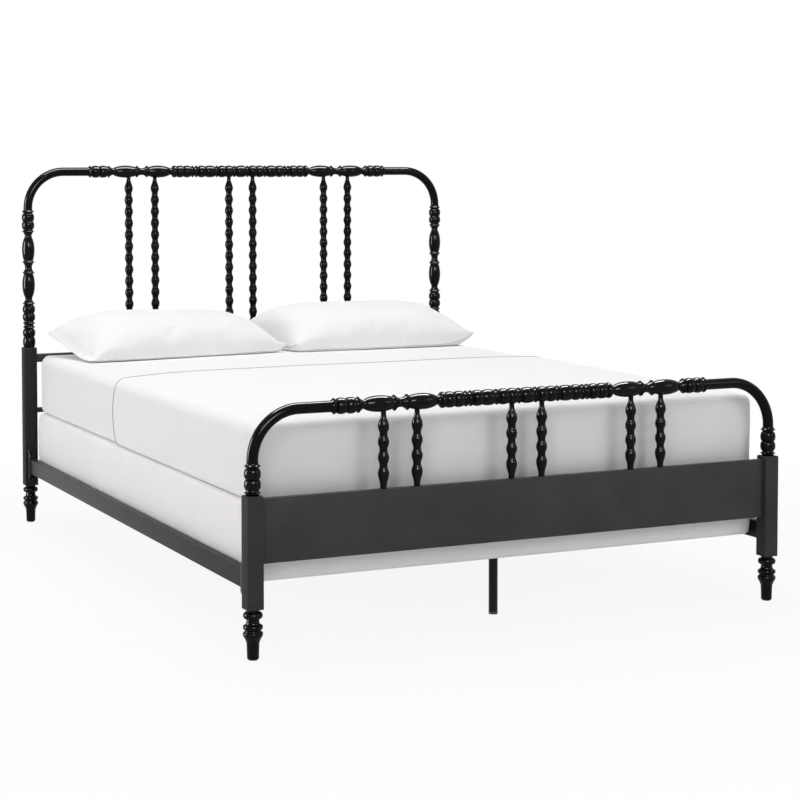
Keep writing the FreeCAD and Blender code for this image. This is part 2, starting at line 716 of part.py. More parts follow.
def make_side_rail(side):
    """Rectangular steel tube between the flanges of its two brackets."""
    length = f"2 * ({INNER_Y} - sizes.flange_thickness)"
    rail = member(f"side_rail_{side}", "XZ_Plane", "sizes.rail_depth", "sizes.rail_height", length,
                  wall="sizes.rail_wall")
    place(node(rail), x=f"{SIDES[side]} * {RAIL_X}", z=RAIL_MIDDLE)


def ear_outline(sketch):
    """Outline of a bracket ear from the post's face: a plate with both free corners cut off."""
    reach = value("sizes.ear_reach")
    edge = value("sizes.ear_edge_height")
    full = value(BRACKET_HEIGHT)
    corners = [(0, -full / 2), (reach, -edge / 2), (reach, edge / 2), (0, full / 2)]
    points = [Vector(across, upward, 0) for across, upward in corners]
    for k in range(4):
        sketch.addGeometry(Part.LineSegment(points[k], points[(k + 1) % 4]), False)
    for k in range(4):
        sketch.addConstraint(Sketcher.Constraint("Coincident", k, 2, (k + 1) % 4, 1))
    sketch.addConstraint(Sketcher.Constraint("PointOnObject", 0, 1, -2))
    sketch.addConstraint(Sketcher.Constraint("Symmetric", 0, 1, 3, 1, -1, 1))
    sketch.addConstraint(Sketcher.Constraint("Symmetric", 1, 1, 1, 2, -1))
    bind(sketch, Sketcher.Constraint("DistanceX", 0, 1, 0, 2, reach), "reach", "sizes.ear_reach")
    bind(sketch, Sketcher.Constraint("DistanceY", 1, 1, 1, 2, edge), "edge", "sizes.ear_edge_height")
    bind(sketch, Sketcher.Constraint("DistanceY", 0, 1, 2, 2, full), "foot", BRACKET_HEIGHT)


def make_bracket(end, side):
    """Angle bracket: a flange bolted to the post and an ear welded to the outside of the rail. It
    is drawn for the left of the foot, with the post's face as its XZ plane, and turned over for
    the other corners."""
    body = new_body(f"rail_bracket_{end}_{side}")
    flange = new_sketch(body, "flange_outline", "XZ_Plane")
    width = "sizes.rail_depth + 2 * sizes.ear_thickness"
    rectangle(flange, width, BRACKET_HEIGHT)
    for name, sign in (("lower", -1), ("upper", 1)):
        upward = f"{sign} * sizes.bolt_spacing / 2"
        circle(flange, "sizes.bolt_diameter + 2 * sizes.bolt_clearance", "0", upward, name)
    pad(body, flange, "sizes.flange_thickness", "flange", backwards=True)
    ear = new_sketch(body, "ear_outline", "YZ_Plane", lift="-1 * sizes.rail_depth / 2")
    ear_outline(ear)
    pad(body, ear, "sizes.ear_thickness", "ear", backwards=True)
    turns = {
        ("foot", "left"): None,
        ("foot", "right"): Rotation(Vector(0, 1, 0), 180),
        ("head", "left"): Rotation(Vector(1, 0, 0), 180),
        ("head", "right"): Rotation(Z_AXIS, 180),
    }
    place(node(body), f"{SIDES[side]} * {RAIL_X}", f"{ENDS[end]} * {INNER_Y}", RAIL_MIDDLE,
          turns[end, side])


def hexagon_prism(across_corners, low, high):
    """Hexagonal head standing on Z."""
    ring = [Vector(across_corners / 2 * math.cos(math.radians(60 * k)),
                   across_corners / 2 * math.sin(math.radians(60 * k)), low) for k in range(7)]
    return Part.Face(Part.makePolygon(ring)).extrude(Vector(0, 0, high - low))


def make_bracket_bolts():
    """Two hexagon bolts through each bracket into its post."""
    head = value("sizes.bolt_head_height")
    bolt = hexagon_prism(value("sizes.bolt_head_diameter"), -head, 0)
    bolt = bolt.fuse(rod(value("sizes.bolt_diameter"), 0, value(BOLT_LENGTH))).removeSplitter()
    face = value(f"{INNER_Y} - sizes.flange_thickness")
    solids = []
    for sign_y in ENDS.values():
        outward = Rotation(Z_AXIS, Vector(0, sign_y, 0))
        for sign_x in SIDES.values():
            for sign_z in (-1, 1):
                height = value(f"{RAIL_MIDDLE} + {sign_z} * sizes.bolt_spacing / 2")
                where = Vector(sign_x * value(RAIL_X), sign_y * face, height)
                solids.append(bolt.transformed(Placement(where, outward).toMatrix()))
    node(solid_feature("bracket_bolts", group(solids)))


# ---- cross supports and centre legs ------------------------------------------------------------

SUPPORTS = {"foot": -1, "middle": 0, "head": 1}


def make_cross_support(name):
    """Square tube across the bed that carries the box spring."""
    side = "sizes.support_side"
    length = f"2 * ({CRADLE_FACE} - sizes.support_play)"
    tube = member(f"cross_support_{name}", "YZ_Plane", side, side, length, wall="sizes.support_wall")
    sketch = new_sketch(tube, "bolt_bore_outline", "XZ_Plane")
    circle(sketch, "sizes.leg_bolt_diameter + 2 * sizes.bolt_clearance")
    pocket(tube, sketch, "bolt_bore", "2 * sizes.support_side").SideType = "Symmetric"
    place(node(tube), y=f"{SUPPORTS[name]} * {SUPPORT_REACH}", z=SUPPORT_MIDDLE)


def cradle():
    """Cradle for one end of a support: a plate on the rail, a floor and two cheeks. The plate ends
    at the underside of the rail. It is drawn for the right rail at the middle of the bed."""
    plate = value("sizes.cradle_plate")
    face = value(RAIL_INNER_X)
    inner_end = face - plate - value("sizes.cradle_reach")
    slot = value("sizes.support_side / 2 + sizes.support_play")
    floor = value(SUPPORT_BOTTOM)
    rim = floor + value("sizes.cradle_cheek")
    back_top = value(RAIL_MIDDLE)
    trough = block(Vector(inner_end, -slot - plate, floor - plate), Vector(face - plate, slot + plate, rim))
    trough = trough.cut(block(Vector(inner_end, -slot, floor), Vector(face - plate, slot, rim)))
    back_low = value(f"{RAIL_MIDDLE} - sizes.rail_height / 2")
    back = block(Vector(face - plate, -slot - plate, back_low), Vector(face, slot + plate, back_top))
    return trough.fuse(back).removeSplitter()


def make_cradles():
    """Six cradles welded to the inner faces of the side rails."""
    one = cradle()
    solids = []
    for step in SUPPORTS.values():
        for turn in (0, 180):
            where = Vector(0, step * value(SUPPORT_REACH), 0)
            solids.append(one.transformed(Placement(where, Rotation(Z_AXIS, turn)).toMatrix()))
    node(solid_feature("support_cradles", group(solids)))


LEG_BORE = "sizes.leg_bolt_diameter + 2 * sizes.bolt_clearance"
SADDLE_FACE = "(sizes.support_side / 2 + sizes.support_play + sizes.saddle_plate)"


def saddle_rod(diameter, near, far):
    """Round bar along Y through the middle of a support."""
    height = value(SUPPORT_MIDDLE)
    return Part.makeCylinder(value(diameter) / 2, far - near, Vector(0, near, height), Vector(0, 1, 0))


def make_centre_leg(name):
    """Round tube under the middle of a support, with a saddle that holds the support's sides."""
    plate = value("sizes.saddle_plate")
    floor = value(SUPPORT_BOTTOM)
    radius = value("sizes.leg_diameter") / 2
    slot = value("sizes.support_side / 2 + sizes.support_play")
    low = value("sizes.leveller_thickness + sizes.leveller_play")
    tube = rod(2 * radius, low, floor - plate)
    tube = tube.cut(rod(2 * (radius - value("sizes.leg_wall")), low, floor - plate))
    rim = floor + value("sizes.saddle_cheek")
    saddle = block(Vector(-radius, -slot - plate, floor - plate), Vector(radius, slot + plate, rim))
    saddle = saddle.cut(block(Vector(-radius, -slot, floor), Vector(radius, slot, rim)))
    leg = tube.fuse(saddle).removeSplitter().cut(saddle_rod(LEG_BORE, -slot - 2 * plate, slot + 2 * plate))
    where = Vector(0, SUPPORTS[name] * value(SUPPORT_REACH), 0)
    return node(solid_feature(f"centre_leg_{name}", leg, Placement(where, Rotation())))


def at_supports(solid):
    """One copy of a solid at each support."""
    steps = [step * value(SUPPORT_REACH) for step in SUPPORTS.values()]
    return group([solid.translated(Vector(0, step, 0)) for step in steps])


def lying_hexagon(near, far):
    """Hexagonal head or nut on the axis of a saddle bolt."""
    prism = hexagon_prism(value("sizes.leg_bolt_head_diameter"), near, far)
    lying = Rotation(Z_AXIS, Vector(0, 1, 0))
    height = value(SUPPORT_MIDDLE)
    return prism.transformed(Placement(Vector(0, 0, height), lying).toMatrix())


def make_leg_bolts():
    """Bolt through each saddle and support, and its nut."""
    face = value(SADDLE_FACE)
    head = value("sizes.leg_bolt_head_height")
    end = face + head + value("sizes.bolt_clearance")
    bolt = saddle_rod("sizes.leg_bolt_diameter", -face, end).fuse(lying_hexagon(-face - head, -face))
    nut = lying_hexagon(face, face + head).cut(saddle_rod(LEG_BORE, face - head, end))
    node(solid_feature("leg_bolts", at_supports(bolt.removeSplitter())))
    node(solid_feature("leg_nuts", at_supports(nut)))


def make_leg_inserts():
    """Threaded insert in the lower end of each leg."""
    low = value("sizes.leveller_thickness + sizes.leveller_play")
    high = low + value("sizes.insert_height")
    bore = value("sizes.bolt_diameter + 2 * sizes.bolt_clearance")
    insert = rod(value("sizes.leg_diameter - 2 * sizes.leg_wall"), low, high).cut(rod(bore, low, high))
    node(solid_feature("leg_inserts", at_supports(insert)))


def make_leveller(name):
    """Disc with a screw stem that turns out of the leg to meet an uneven floor."""
    thickness = value("sizes.leveller_thickness")
    outline = Outline(0, value("sizes.leg_diameter") / 2)
    outline.line(thickness, value("sizes.leg_diameter") / 2)
    outline.line(thickness, value("sizes.bolt_diameter") / 2)
    outline.line(thickness + value("sizes.leveller_stem_length"), value("sizes.bolt_diameter") / 2)
    where = Vector(0, SUPPORTS[name] * value(SUPPORT_REACH), 0)
    node(solid_feature(f"leg_leveller_{name}", outline.solid(), Placement(where, Rotation())))


# ---- bedding -----------------------------------------------------------------------------------


def vertical_edges(shape):
    return [e for e in shape.Edges if abs(e.tangentAt(e.FirstParameter).z) > 0.99]


def edges_at(shape, height):
    return [e for e in shape.Edges if e.BoundBox.ZLength < 0.01 and abs(e.CenterOfMass.z - height) < 0.01]


def rounded_block(half_width, half_length, low, high, corner, top_edge, bottom_edge=0):
    """Upholstered block with rounded corners seen from above and rounded edges."""
    shape = block(Vector(-half_width, -half_length, low), Vector(half_width, half_length, high))
    shape = shape.makeFillet(corner, vertical_edges(shape))
    shape = shape.makeFillet(top_edge, edges_at(shape, high))
    if bottom_edge:
        shape = shape.makeFillet(bottom_edge, edges_at(shape, low))
    return shape


def make_box_spring():
    """Upholstered foundation on the cross supports."""
    low = value(SUPPORT_TOP)
    high = low + value("sizes.box_spring_height")
    edge = value("sizes.box_spring_edge")
    shape = rounded_block(value("sizes.sleep_width / 2 + sizes.box_spring_spread"),
                          value("sizes.sleep_length / 2 + sizes.box_spring_spread"), low, high,
                          value("sizes.corner_radius"), edge, edge)
    node(solid_feature("box_spring", shape))


def mattress_block(grow):
    """The mattress, or what lies around it at a distance."""
    low = value(MATTRESS_BOTTOM)
    high = low + value("sizes.mattress_height") + grow
    return rounded_block(value("sizes.sleep_width / 2") + grow, value("sizes.sleep_length / 2") + grow,
                         low, high, value("sizes.corner_radius") + grow, value("sizes.edge_radius") + grow)


def make_coverlet():
    """Thin cover over the lower part of the mattress, down its sides and its foot end."""
    inner = value("sizes.soft_clearance")
    outer = inner + value("sizes.coverlet_thickness")
    shell = mattress_block(outer).cut(mattress_block(inner))
    reach = value("sizes.sleep_width")
    low = value(MATTRESS_BOTTOM)
    keep = block(Vector(-reach, -reach, low), Vector(reach, value("sizes.coverlet_edge"), 2 * reach))
    node(solid_feature("coverlet", shell.common(keep)))


# Shares of a pillow's half width at which its sections stand.
PILLOW_STATIONS = (0, 0.35, 0.6, 0.8, 0.93, 1)


def pillow_section(share):
    """Lens across a pillow: a high crown, a flatter belly and a narrow seam at both edges. Its
    depth is least half way along, so that the corners stand out."""
    seam = value("sizes.pillow_seam") / 2
    loft = value("sizes.pillow_loft") - 2 * seam
    height = loft * math.sqrt(max(0.0, 1 - share ** 3)) + seam
    crown, belly = 0.62 * height, 0.38 * height
    half = value("sizes.pillow_depth") / 2 - value("sizes.pillow_draw") * (1 - share ** 2)
    x = share * value("sizes.pillow_width") / 2
    corners = [Vector(x, -half, -seam), Vector(x, half, -seam), Vector(x, half, seam), Vector(x, -half, seam)]
    edges = [
        Part.Arc(corners[0], Vector(x, 0, -seam - belly), corners[1]).toShape(),
        Part.LineSegment(corners[1], corners[2]).toShape(),
        Part.Arc(corners[2], Vector(x, 0, seam + crown), corners[3]).toShape(),
        Part.LineSegment(corners[3], corners[0]).toShape(),
    ]
    return Part.Wire(edges)


def make_pillow(side):
    """Stuffed pillow with a crown and drawn-in long sides, lying on the head of the mattress."""
    half = [pillow_section(share) for share in PILLOW_STATIONS]
    other = [wire.mirror(Vector(), Vector(1, 0, 0)) for wire in half[:0:-1]]
    shape = Part.makeLoft(other + half, True, True)
    top = value(f"{MATTRESS_BOTTOM} + sizes.mattress_height + sizes.soft_clearance")
    lowest = pillow_section(0).BoundBox.ZMin
    inner_end = value("sizes.pillow_shift" if side == "left" else "sizes.pillow_shift + sizes.pillow_gap")
    x = inner_end + SIDES[side] * value("sizes.pillow_width") / 2
    y = value(f"{INNER_Y} - sizes.{side}_pillow_back - sizes.pillow_depth / 2")
    where = Vector(x, y, top - lowest)
    turn = Rotation(Z_AXIS, value(f"sizes.{side}_pillow_turn"))
    node(solid_feature(f"pillow_{side}", shape, Placement(where, turn)))


# ---- the whole bed -----------------------------------------------------------------------------


def make_bed_end(end):
    for side in SIDES:
        make_foot(end, side)
        make_post(end, side)
        make_stile(end, side)
        make_corner(end, side)
    make_top_rail(end)
    make_spindles(end)
    make_spans(end)


def make_bed():
    for end in ENDS:
        make_bed_end(end)
    make_glides()
    for side in SIDES:
        make_side_rail(side)
        for end in ENDS:
            make_bracket(end, side)
    make_bracket_bolts()
    for name in SUPPORTS:
        make_cross_support(name)
        make_centre_leg(name)
        make_leveller(name)
    make_cradles()
    make_leg_bolts()
    make_leg_inserts()
    make_box_spring()
    node(solid_feature("mattress", mattress_block(0)))
    make_coverlet()
    for side in SIDES:
        make_pillow(side)


def check():
    """Stops if a feature failed or a piece has no sound solid."""
    doc.recompute()
    for feature in doc.Objects:
        if "Invalid" in feature.State or "Error" in feature.State:
            raise RuntimeError(f"{feature.Label} failed: {feature.State}")
    for feature in nodes:
        shape = feature.Shape
        if shape.isNull() or not shape.isValid() or not shape.Solids:
            raise RuntimeError(f"{feature.Label} has no sound solid")


def export():
    os.makedirs("parts", exist_ok=True)
    for feature in nodes:
        feature.Shape.exportStep(f"parts/{feature.Label}.step")


fill_sheet()
make_bed()
check()
export()
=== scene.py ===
"""Spindle bed: its visible pieces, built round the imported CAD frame. Metres, +X to the right seen
from the foot of the bed, +Y towards the head, +Z up, floor at z 0."""

import math

import bmesh
import bpy
from mathutils import Matrix, Vector, noise


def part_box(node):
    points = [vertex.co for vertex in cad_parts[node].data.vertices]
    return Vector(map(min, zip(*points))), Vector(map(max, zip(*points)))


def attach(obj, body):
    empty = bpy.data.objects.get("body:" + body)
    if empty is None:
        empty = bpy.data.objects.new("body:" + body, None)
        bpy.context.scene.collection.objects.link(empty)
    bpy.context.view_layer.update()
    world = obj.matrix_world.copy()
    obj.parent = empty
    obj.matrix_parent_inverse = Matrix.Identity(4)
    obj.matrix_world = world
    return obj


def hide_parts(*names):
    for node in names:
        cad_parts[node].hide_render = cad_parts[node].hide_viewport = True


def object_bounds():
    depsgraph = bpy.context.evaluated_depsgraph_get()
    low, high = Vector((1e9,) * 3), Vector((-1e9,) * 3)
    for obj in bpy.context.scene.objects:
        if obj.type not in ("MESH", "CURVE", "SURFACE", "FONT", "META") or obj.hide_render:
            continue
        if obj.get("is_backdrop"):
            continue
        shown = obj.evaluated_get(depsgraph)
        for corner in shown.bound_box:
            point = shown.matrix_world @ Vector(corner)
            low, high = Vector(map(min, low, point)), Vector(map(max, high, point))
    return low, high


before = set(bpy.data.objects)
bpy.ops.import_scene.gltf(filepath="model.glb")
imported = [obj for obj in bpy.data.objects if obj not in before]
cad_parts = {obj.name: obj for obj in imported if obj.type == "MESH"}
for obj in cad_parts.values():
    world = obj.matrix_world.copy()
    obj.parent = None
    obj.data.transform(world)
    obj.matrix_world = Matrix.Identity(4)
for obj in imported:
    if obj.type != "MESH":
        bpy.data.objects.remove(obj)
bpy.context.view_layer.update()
scene = bpy.context.scene

# ---- camera, floor and light ---------------------------------------------------------------------
# A long lens at chest height, to the left of the foot of the bed, with the picture shifted down.
# White floor under soft light from above, the left and both sides of the front, and three soft
# boxes that show only as glints and streaks in gloss.

camera = bpy.data.objects.new("camera", bpy.data.cameras.new("camera"))
camera.location = (-2.5813, -5.6681, 1.2553)
camera.rotation_euler = (math.radians(87), 0, math.radians(-25.586))
camera.data.sensor_width = 36
camera.data.lens = 88.83
camera.data.shift_y = -0.1683
scene.collection.objects.link(camera)
scene.camera = camera
scene.view_settings.view_transform = "Standard"


def link(tree, *pairs):
    """Joins sockets of a node tree, given as (from, to)."""
    for start, end in pairs:
        tree.links.new(start, end)


def seen_directly(tree):
    """1 for rays from the camera, a mirror or a glass, 0 for the light that falls on things."""
    paths = tree.nodes.new("ShaderNodeLightPath")
    either = tree.nodes.new("ShaderNodeMath")
    either.operation = "MAXIMUM"
    link(
        tree,
        (paths.outputs["Is Camera Ray"], either.inputs[0]),
        (paths.outputs["Is Glossy Ray"], either.inputs[1]),
    )
    any_of = tree.nodes.new("ShaderNodeMath")
    any_of.operation = "MAXIMUM"
    link(
        tree,
        (either.outputs[0], any_of.inputs[0]),
        (paths.outputs["Is Transmission Ray"], any_of.inputs[1]),
    )
    return any_of.outputs[0]


world = bpy.data.worlds.new("studio")
scene.world = world
world.use_nodes = True
sky = world.node_tree
sky.nodes.clear()
backdrop_light = sky.nodes.new("ShaderNodeBackground")
backdrop_light.inputs["Color"].default_value = (1, 1, 1, 1)
backdrop_light.inputs["Strength"].default_value = 1.0
room_light = sky.nodes.new("ShaderNodeBackground")
room_light.inputs["Color"].default_value = (1, 0.985, 0.985, 1)
room_light.inputs["Strength"].default_value = 0.47
choice = sky.nodes.new("ShaderNodeMixShader")
sky_out = sky.nodes.new("ShaderNodeOutputWorld")
link(
    sky,
    (seen_directly(sky), choice.inputs[0]),
    (room_light.outputs[0], choice.inputs[1]),
    (backdrop_light.outputs[0], choice.inputs[2]),
    (choice.outputs[0], sky_out.inputs[0]),
)

floor_mesh = bpy.data.meshes.new("studio_floor")
floor_shape = bmesh.new()
bmesh.ops.create_grid(floor_shape, x_segments=1, y_segments=1, size=30)
floor_shape.to_mesh(floor_mesh)
floor_shape.free()
floor = bpy.data.objects.new("studio_floor", floor_mesh)
scene.collection.objects.link(floor)
floor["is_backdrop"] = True
floor_paint = bpy.data.materials.new("studio_floor")
floor_paint.use_nodes = True
tree = floor_paint.node_tree
tree.nodes.clear()
matte = tree.nodes.new("ShaderNodeBsdfDiffuse")
matte.inputs["Color"].default_value = (0.88, 0.88, 0.88, 1)
glow = tree.nodes.new("ShaderNodeEmission")
glow.inputs["Strength"].default_value = 1.0
share = tree.nodes.new("ShaderNodeMath")
share.operation = "MULTIPLY"
place = tree.nodes.new("ShaderNodeTexCoord")
distance = tree.nodes.new("ShaderNodeVectorMath")
distance.operation = "LENGTH"
fade = tree.nodes.new("ShaderNodeMapRange")
fade.interpolation_type = "SMOOTHSTEP"
fade.inputs["From Min"].default_value = 1.2
fade.inputs["From Max"].default_value = 3.0
fade.inputs["To Min"].default_value = 0.9
fade.inputs["To Max"].default_value = 1.0
lit = tree.nodes.new("ShaderNodeMixShader")
floor_out = tree.nodes.new("ShaderNodeOutputMaterial")
link(
    tree,
    (place.outputs["Object"], distance.inputs[0]),
    (distance.outputs["Value"], fade.inputs["Value"]),
    (seen_directly(tree), share.inputs[0]),
    (fade.outputs[0], share.inputs[1]),
    (share.outputs[0], lit.inputs[0]),
    (matte.outputs[0], lit.inputs[1]),
    (glow.outputs[0], lit.inputs[2]),
    (lit.outputs[0], floor_out.inputs[0]),
)
floor_mesh.materials.append(floor_paint)


def lamp(name, place, aim, width, height, power):
    """Soft box that points at a place."""
    light = bpy.data.lights.new(name, "AREA")
    light.shape = "RECTANGLE"
    light.size = width
    light.size_y = height
    light.energy = power
    obj = bpy.data.objects.new(name, light)
    obj.location = place
    obj.rotation_euler = (Vector(aim) - Vector(place)).to_track_quat("-Z", "Y").to_euler()
    obj.visible_camera = False
    scene.collection.objects.link(obj)
    return obj


def catch_light(name, place, aim, width, height, brightness):
    """Soft box that shows in gloss as a glint or a streak and lights nothing else."""
    box = lamp(name, place, aim, width, height, brightness * math.pi * width * height)
    box.visible_diffuse = False


lamp("lamp_above", (-0.4, 0.4, 4.6), (0, 0, 0.5), 3.0, 3.0, 74)
lamp("lamp_left", (-4.8, 0.5, 1.7), (-0.6, 0.3, 0.4), 1.6, 2.4, 40)
lamp("lamp_front_right", (3.2, -4.8, 2.4), (0, -1.0, 0.4), 1.6, 1.6, 42)
lamp("lamp_key", (-3.4, -4.2, 3.6), (0, 0, 0.6), 0.35, 0.35, 22)
catch_light("catch_above", (0.4, 0.3, 4.7), (0.4, 0, 0.6), 4.6, 1.2, 75)
catch_light("catch_front", (-1.4, -6.0, 2.9), (0, -1, 0.7), 2.6, 1.4, 38)
catch_light("catch_left", (-5.0, 1.4, 1.25), (0, 0, 0.9), 1.3, 2.5, 45)

# ---- turned feet ---------------------------------------------------------------------------------
# Four feet turned from hardwood: a tapered toe, two thin rings and a ball, glued by a plug into the
# post above. Sprayed with black gloss lacquer.

MM = 0.001
ENDS = ("foot", "head")
SIDES = {"left": -1, "right": 1}


def arch(points, start, length, low, crest, steps=8):
    """Adds a rounded swelling between two heights, deep grooves at both its ends."""
    for k in range(steps + 1):
        turn = math.pi * k / steps
        along = start + length * (1 - math.cos(turn)) / 2
        points.append((along, low + (crest - low) * math.sin(turn)))


def sweep(points, length, radius, kind="both", steps=7):
    """Adds a flowing line to a new radius: level at both ends, or only where it starts or ends."""
    start, first = points[-1]
    for k in range(1, steps + 1):
        share = k / steps
        if kind == "both":
            grown = 0.5 - 0.5 * math.cos(math.pi * share)
        elif kind == "start":
            grown = 1 - math.sqrt(max(0.0, 1 - share**2))
        else:
            grown = math.sqrt(max(0.0, 1 - (1 - share) ** 2))
        points.append((start + length * share, first + (radius - first) * grown))


def on_lathe(points, steps=32):
    """Turns an outline of (height, radius) in millimetres about the Z axis and closes its ends."""
    shape = bmesh.new()
    line = [(points[0][0], 0.0), *points, (points[-1][0], 0.0)]
    corners = [shape.verts.new((radius * MM, 0, height * MM)) for height, radius in line]
    edges = [shape.edges.new(pair) for pair in zip(corners, corners[1:])]
    bmesh.ops.spin(
        shape, geom=corners + edges, cent=(0, 0, 0), axis=(0, 0, 1), angle=2 * math.pi, steps=steps,
        use_merge=True, use_duplicate=False,
    )
    bmesh.ops.remove_doubles(shape, verts=shape.verts, dist=1e-6)
    bmesh.ops.recalc_face_normals(shape, faces=shape.faces)
    return shape


def put(shape, name, body, slot, material, *nodes, crease=40):
    """Makes a shaped piece of the bed that rides on a body, wears a finish and stands for CAD nodes."""
    for face in shape.faces:
        face.smooth = True
    for edge in shape.edges:
        edge.smooth = len(edge.link_faces) != 2 or edge.calc_face_angle() < math.radians(crease)
    mesh = bpy.data.meshes.new(name)
    shape.to_mesh(mesh)
    shape.free()
    mesh.materials.append(material)
    piece = bpy.data.objects.new(name, mesh)
    scene.collection.objects.link(piece)
    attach(piece, body)
    if nodes:
        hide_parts(*nodes)
    return piece


def group(name, inputs, outputs):
    """Empty shader group with named inputs (name, kind, value) and outputs (name, kind)."""
    made = bpy.data.node_groups.new(name, "ShaderNodeTree")
    for label, kind, value in inputs:
        socket = made.interface.new_socket(label, in_out="INPUT", socket_type=kind)
        socket.default_value = value
    for label, kind in outputs:
        made.interface.new_socket(label, in_out="OUTPUT", socket_type=kind)
    return made, made.nodes.new("NodeGroupInput"), made.nodes.new("NodeGroupOutput")


FLOAT, COLOUR, NORMAL = "NodeSocketFloat", "NodeSocketColor", "NodeSocketVector"


def scaled_noise(made, place, scale, detail=3.0, stretch=(1, 1, 1)):
    """Noise over the piece's own coordinates, drawn out along an axis if asked."""
    mapping = made.nodes.new("ShaderNodeMapping")
    mapping.inputs["Scale"].default_value = stretch
    texture = made.nodes.new("ShaderNodeTexNoise")
    texture.inputs["Scale"].default_value = scale
    texture.inputs["Detail"].default_value = detail
    link(made, (place, mapping.inputs["Vector"]), (mapping.outputs[0], texture.inputs["Vector"]))
    return texture.outputs["Fac"]


def ranged(made, value, low, high, from_low=0.3, from_high=0.7):
    """Maps a noise value on a smaller range."""
    node = made.nodes.new("ShaderNodeMapRange")
    node.inputs["From Min"].default_value = from_low
    node.inputs["From Max"].default_value = from_high
    node.inputs["To Min"].default_value = low
    node.inputs["To Max"].default_value = high
    link(made, (value, node.inputs["Value"]))
    return node.outputs[0]


def blended(made, factor, first, second, kind="MIX"):
    """Mixes two colours by a factor, where each is a socket or a value."""
    node = made.nodes.new("ShaderNodeMix")
    node.data_type = "RGBA"
    node.blend_type = kind
    for index, value in ((0, factor), (6, first), (7, second)):
        if isinstance(value, (int, float, tuple)):
            node.inputs[index].default_value = value
        else:
            link(made, (value, node.inputs[index]))
    return node.outputs[2]


# Sprayed paint: a fine skin like orange peel, a little dust in the gloss and faint cloudiness.
paint, paint_in, paint_out = group(
    "sprayed_paint",
    [
        ("Colour", COLOUR, (0.01, 0.01, 0.01, 1)),
        ("Gloss", FLOAT, 0.3),
        ("Peel", FLOAT, 0.15),
        ("Grain", FLOAT, 0.0),
    ],
    [("Colour", COLOUR), ("Roughness", FLOAT), ("Normal", NORMAL)],
)
coords = paint.nodes.new("ShaderNodeTexCoord").outputs["Object"]
cloud = scaled_noise(paint, coords, 9)
dust = scaled_noise(paint, coords, 160, 4)
peel = scaled_noise(paint, coords, 420, 2)
grain = scaled_noise(paint, coords, 60, 5, stretch=(0.06, 1, 1))
darker = blended(paint, 1.0, paint_in.outputs["Colour"], (0.8, 0.8, 0.8, 1), "MULTIPLY")
clouded = blended(paint, ranged(paint, cloud, 0, 1), darker, paint_in.outputs["Colour"])
dusted = blended(paint, ranged(paint, dust, 0, 0.02, 0.55, 0.8), clouded, (0.12, 0.12, 0.12, 1))
rougher = paint.nodes.new("ShaderNodeMath")
rougher.operation = "ADD"
link(
    paint,
    (paint_in.outputs["Gloss"], rougher.inputs[0]),
    (ranged(paint, dust, -0.03, 0.06), rougher.inputs[1]),
)
skin = paint.nodes.new("ShaderNodeBump")
skin.inputs["Distance"].default_value = 0.0004
wood = paint.nodes.new("ShaderNodeBump")
wood.inputs["Distance"].default_value = 0.0006
link(
    paint,
    (paint_in.outputs["Peel"], skin.inputs["Strength"]),
    (peel, skin.inputs["Height"]),
    (paint_in.outputs["Grain"], wood.inputs["Strength"]),
    (grain, wood.inputs["Height"]),
    (skin.outputs[0], wood.inputs["Normal"]),
    (dusted, paint_out.inputs["Colour"]),
    (rougher.outputs[0], paint_out.inputs["Roughness"]),
    (wood.outputs[0], paint_out.inputs["Normal"]),
)


def finish_of(name, effect, values, **shader_values):
    """Material whose colour, roughness and normal come from a group and the rest from plain values."""
    material = bpy.data.materials.new(name)
    material.use_nodes = True
    made = material.node_tree
    shader = made.nodes["Principled BSDF"]
    source = made.nodes.new("ShaderNodeGroup")
    source.node_tree = effect
    for label, value in values.items():
        source.inputs[label].default_value = value
    for label, value in shader_values.items():
        shader.inputs[label.replace("_", " ")].default_value = value
    link(
        made,
        (source.outputs["Colour"], shader.inputs["Base Color"]),
        (source.outputs["Roughness"], shader.inputs["Roughness"]),
        (source.outputs["Normal"], shader.inputs["Normal"]),
    )
    return material


black_lacquer = finish_of(
    "black_lacquer", paint, {"Colour": (0.003, 0.003, 0.0032, 1), "Gloss": 0.1, "Peel": 0.06},
    Specular_IOR_Level=0.09,
)

# Outline of a foot from its toe up, as (height, radius) in millimetres.
foot_line = [(3, 14.9), (4.5, 15.5), (20, 15.7), (36, 16.3)]
sweep(foot_line, 12, 18.6, "start", 5)
foot_line += [(53, 20.4), (57, 22.6), (60, 24.4)]
arch(foot_line, 60.3, 11, 23.2, 25.9)
foot_line += [(73, 21.6), (74.6, 21.2), (76.2, 21.6)]
arch(foot_line, 78.2, 10.6, 23.0, 25.6)
sweep(foot_line, 10, 16.6, "end", 6)
sweep(foot_line, 4.6, 15.8, "both", 3)
arch(foot_line, 103.9, 19, 16.4, 25.4, 12)
foot_line += [(124.5, 16.4), (129.3, 16.6)]

for end in ENDS:
    for side in SIDES:
        node = f"turned_foot_{end}_{side}"
        low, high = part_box(node)
        shape = on_lathe(foot_line, 40)
        bmesh.ops.translate(shape, verts=shape.verts, vec=((low.x + high.x) / 2, (low.y + high.y) / 2, 0))
        put(shape, f"{node}_turning", "frame", "black_gloss_wood", black_lacquer, node)

# ---- glides under the feet -----------------------------------------------------------------------
# Round glides moulded in black nylon and nailed under the four feet, so that the bed slides and
# doesn't mark the floor.

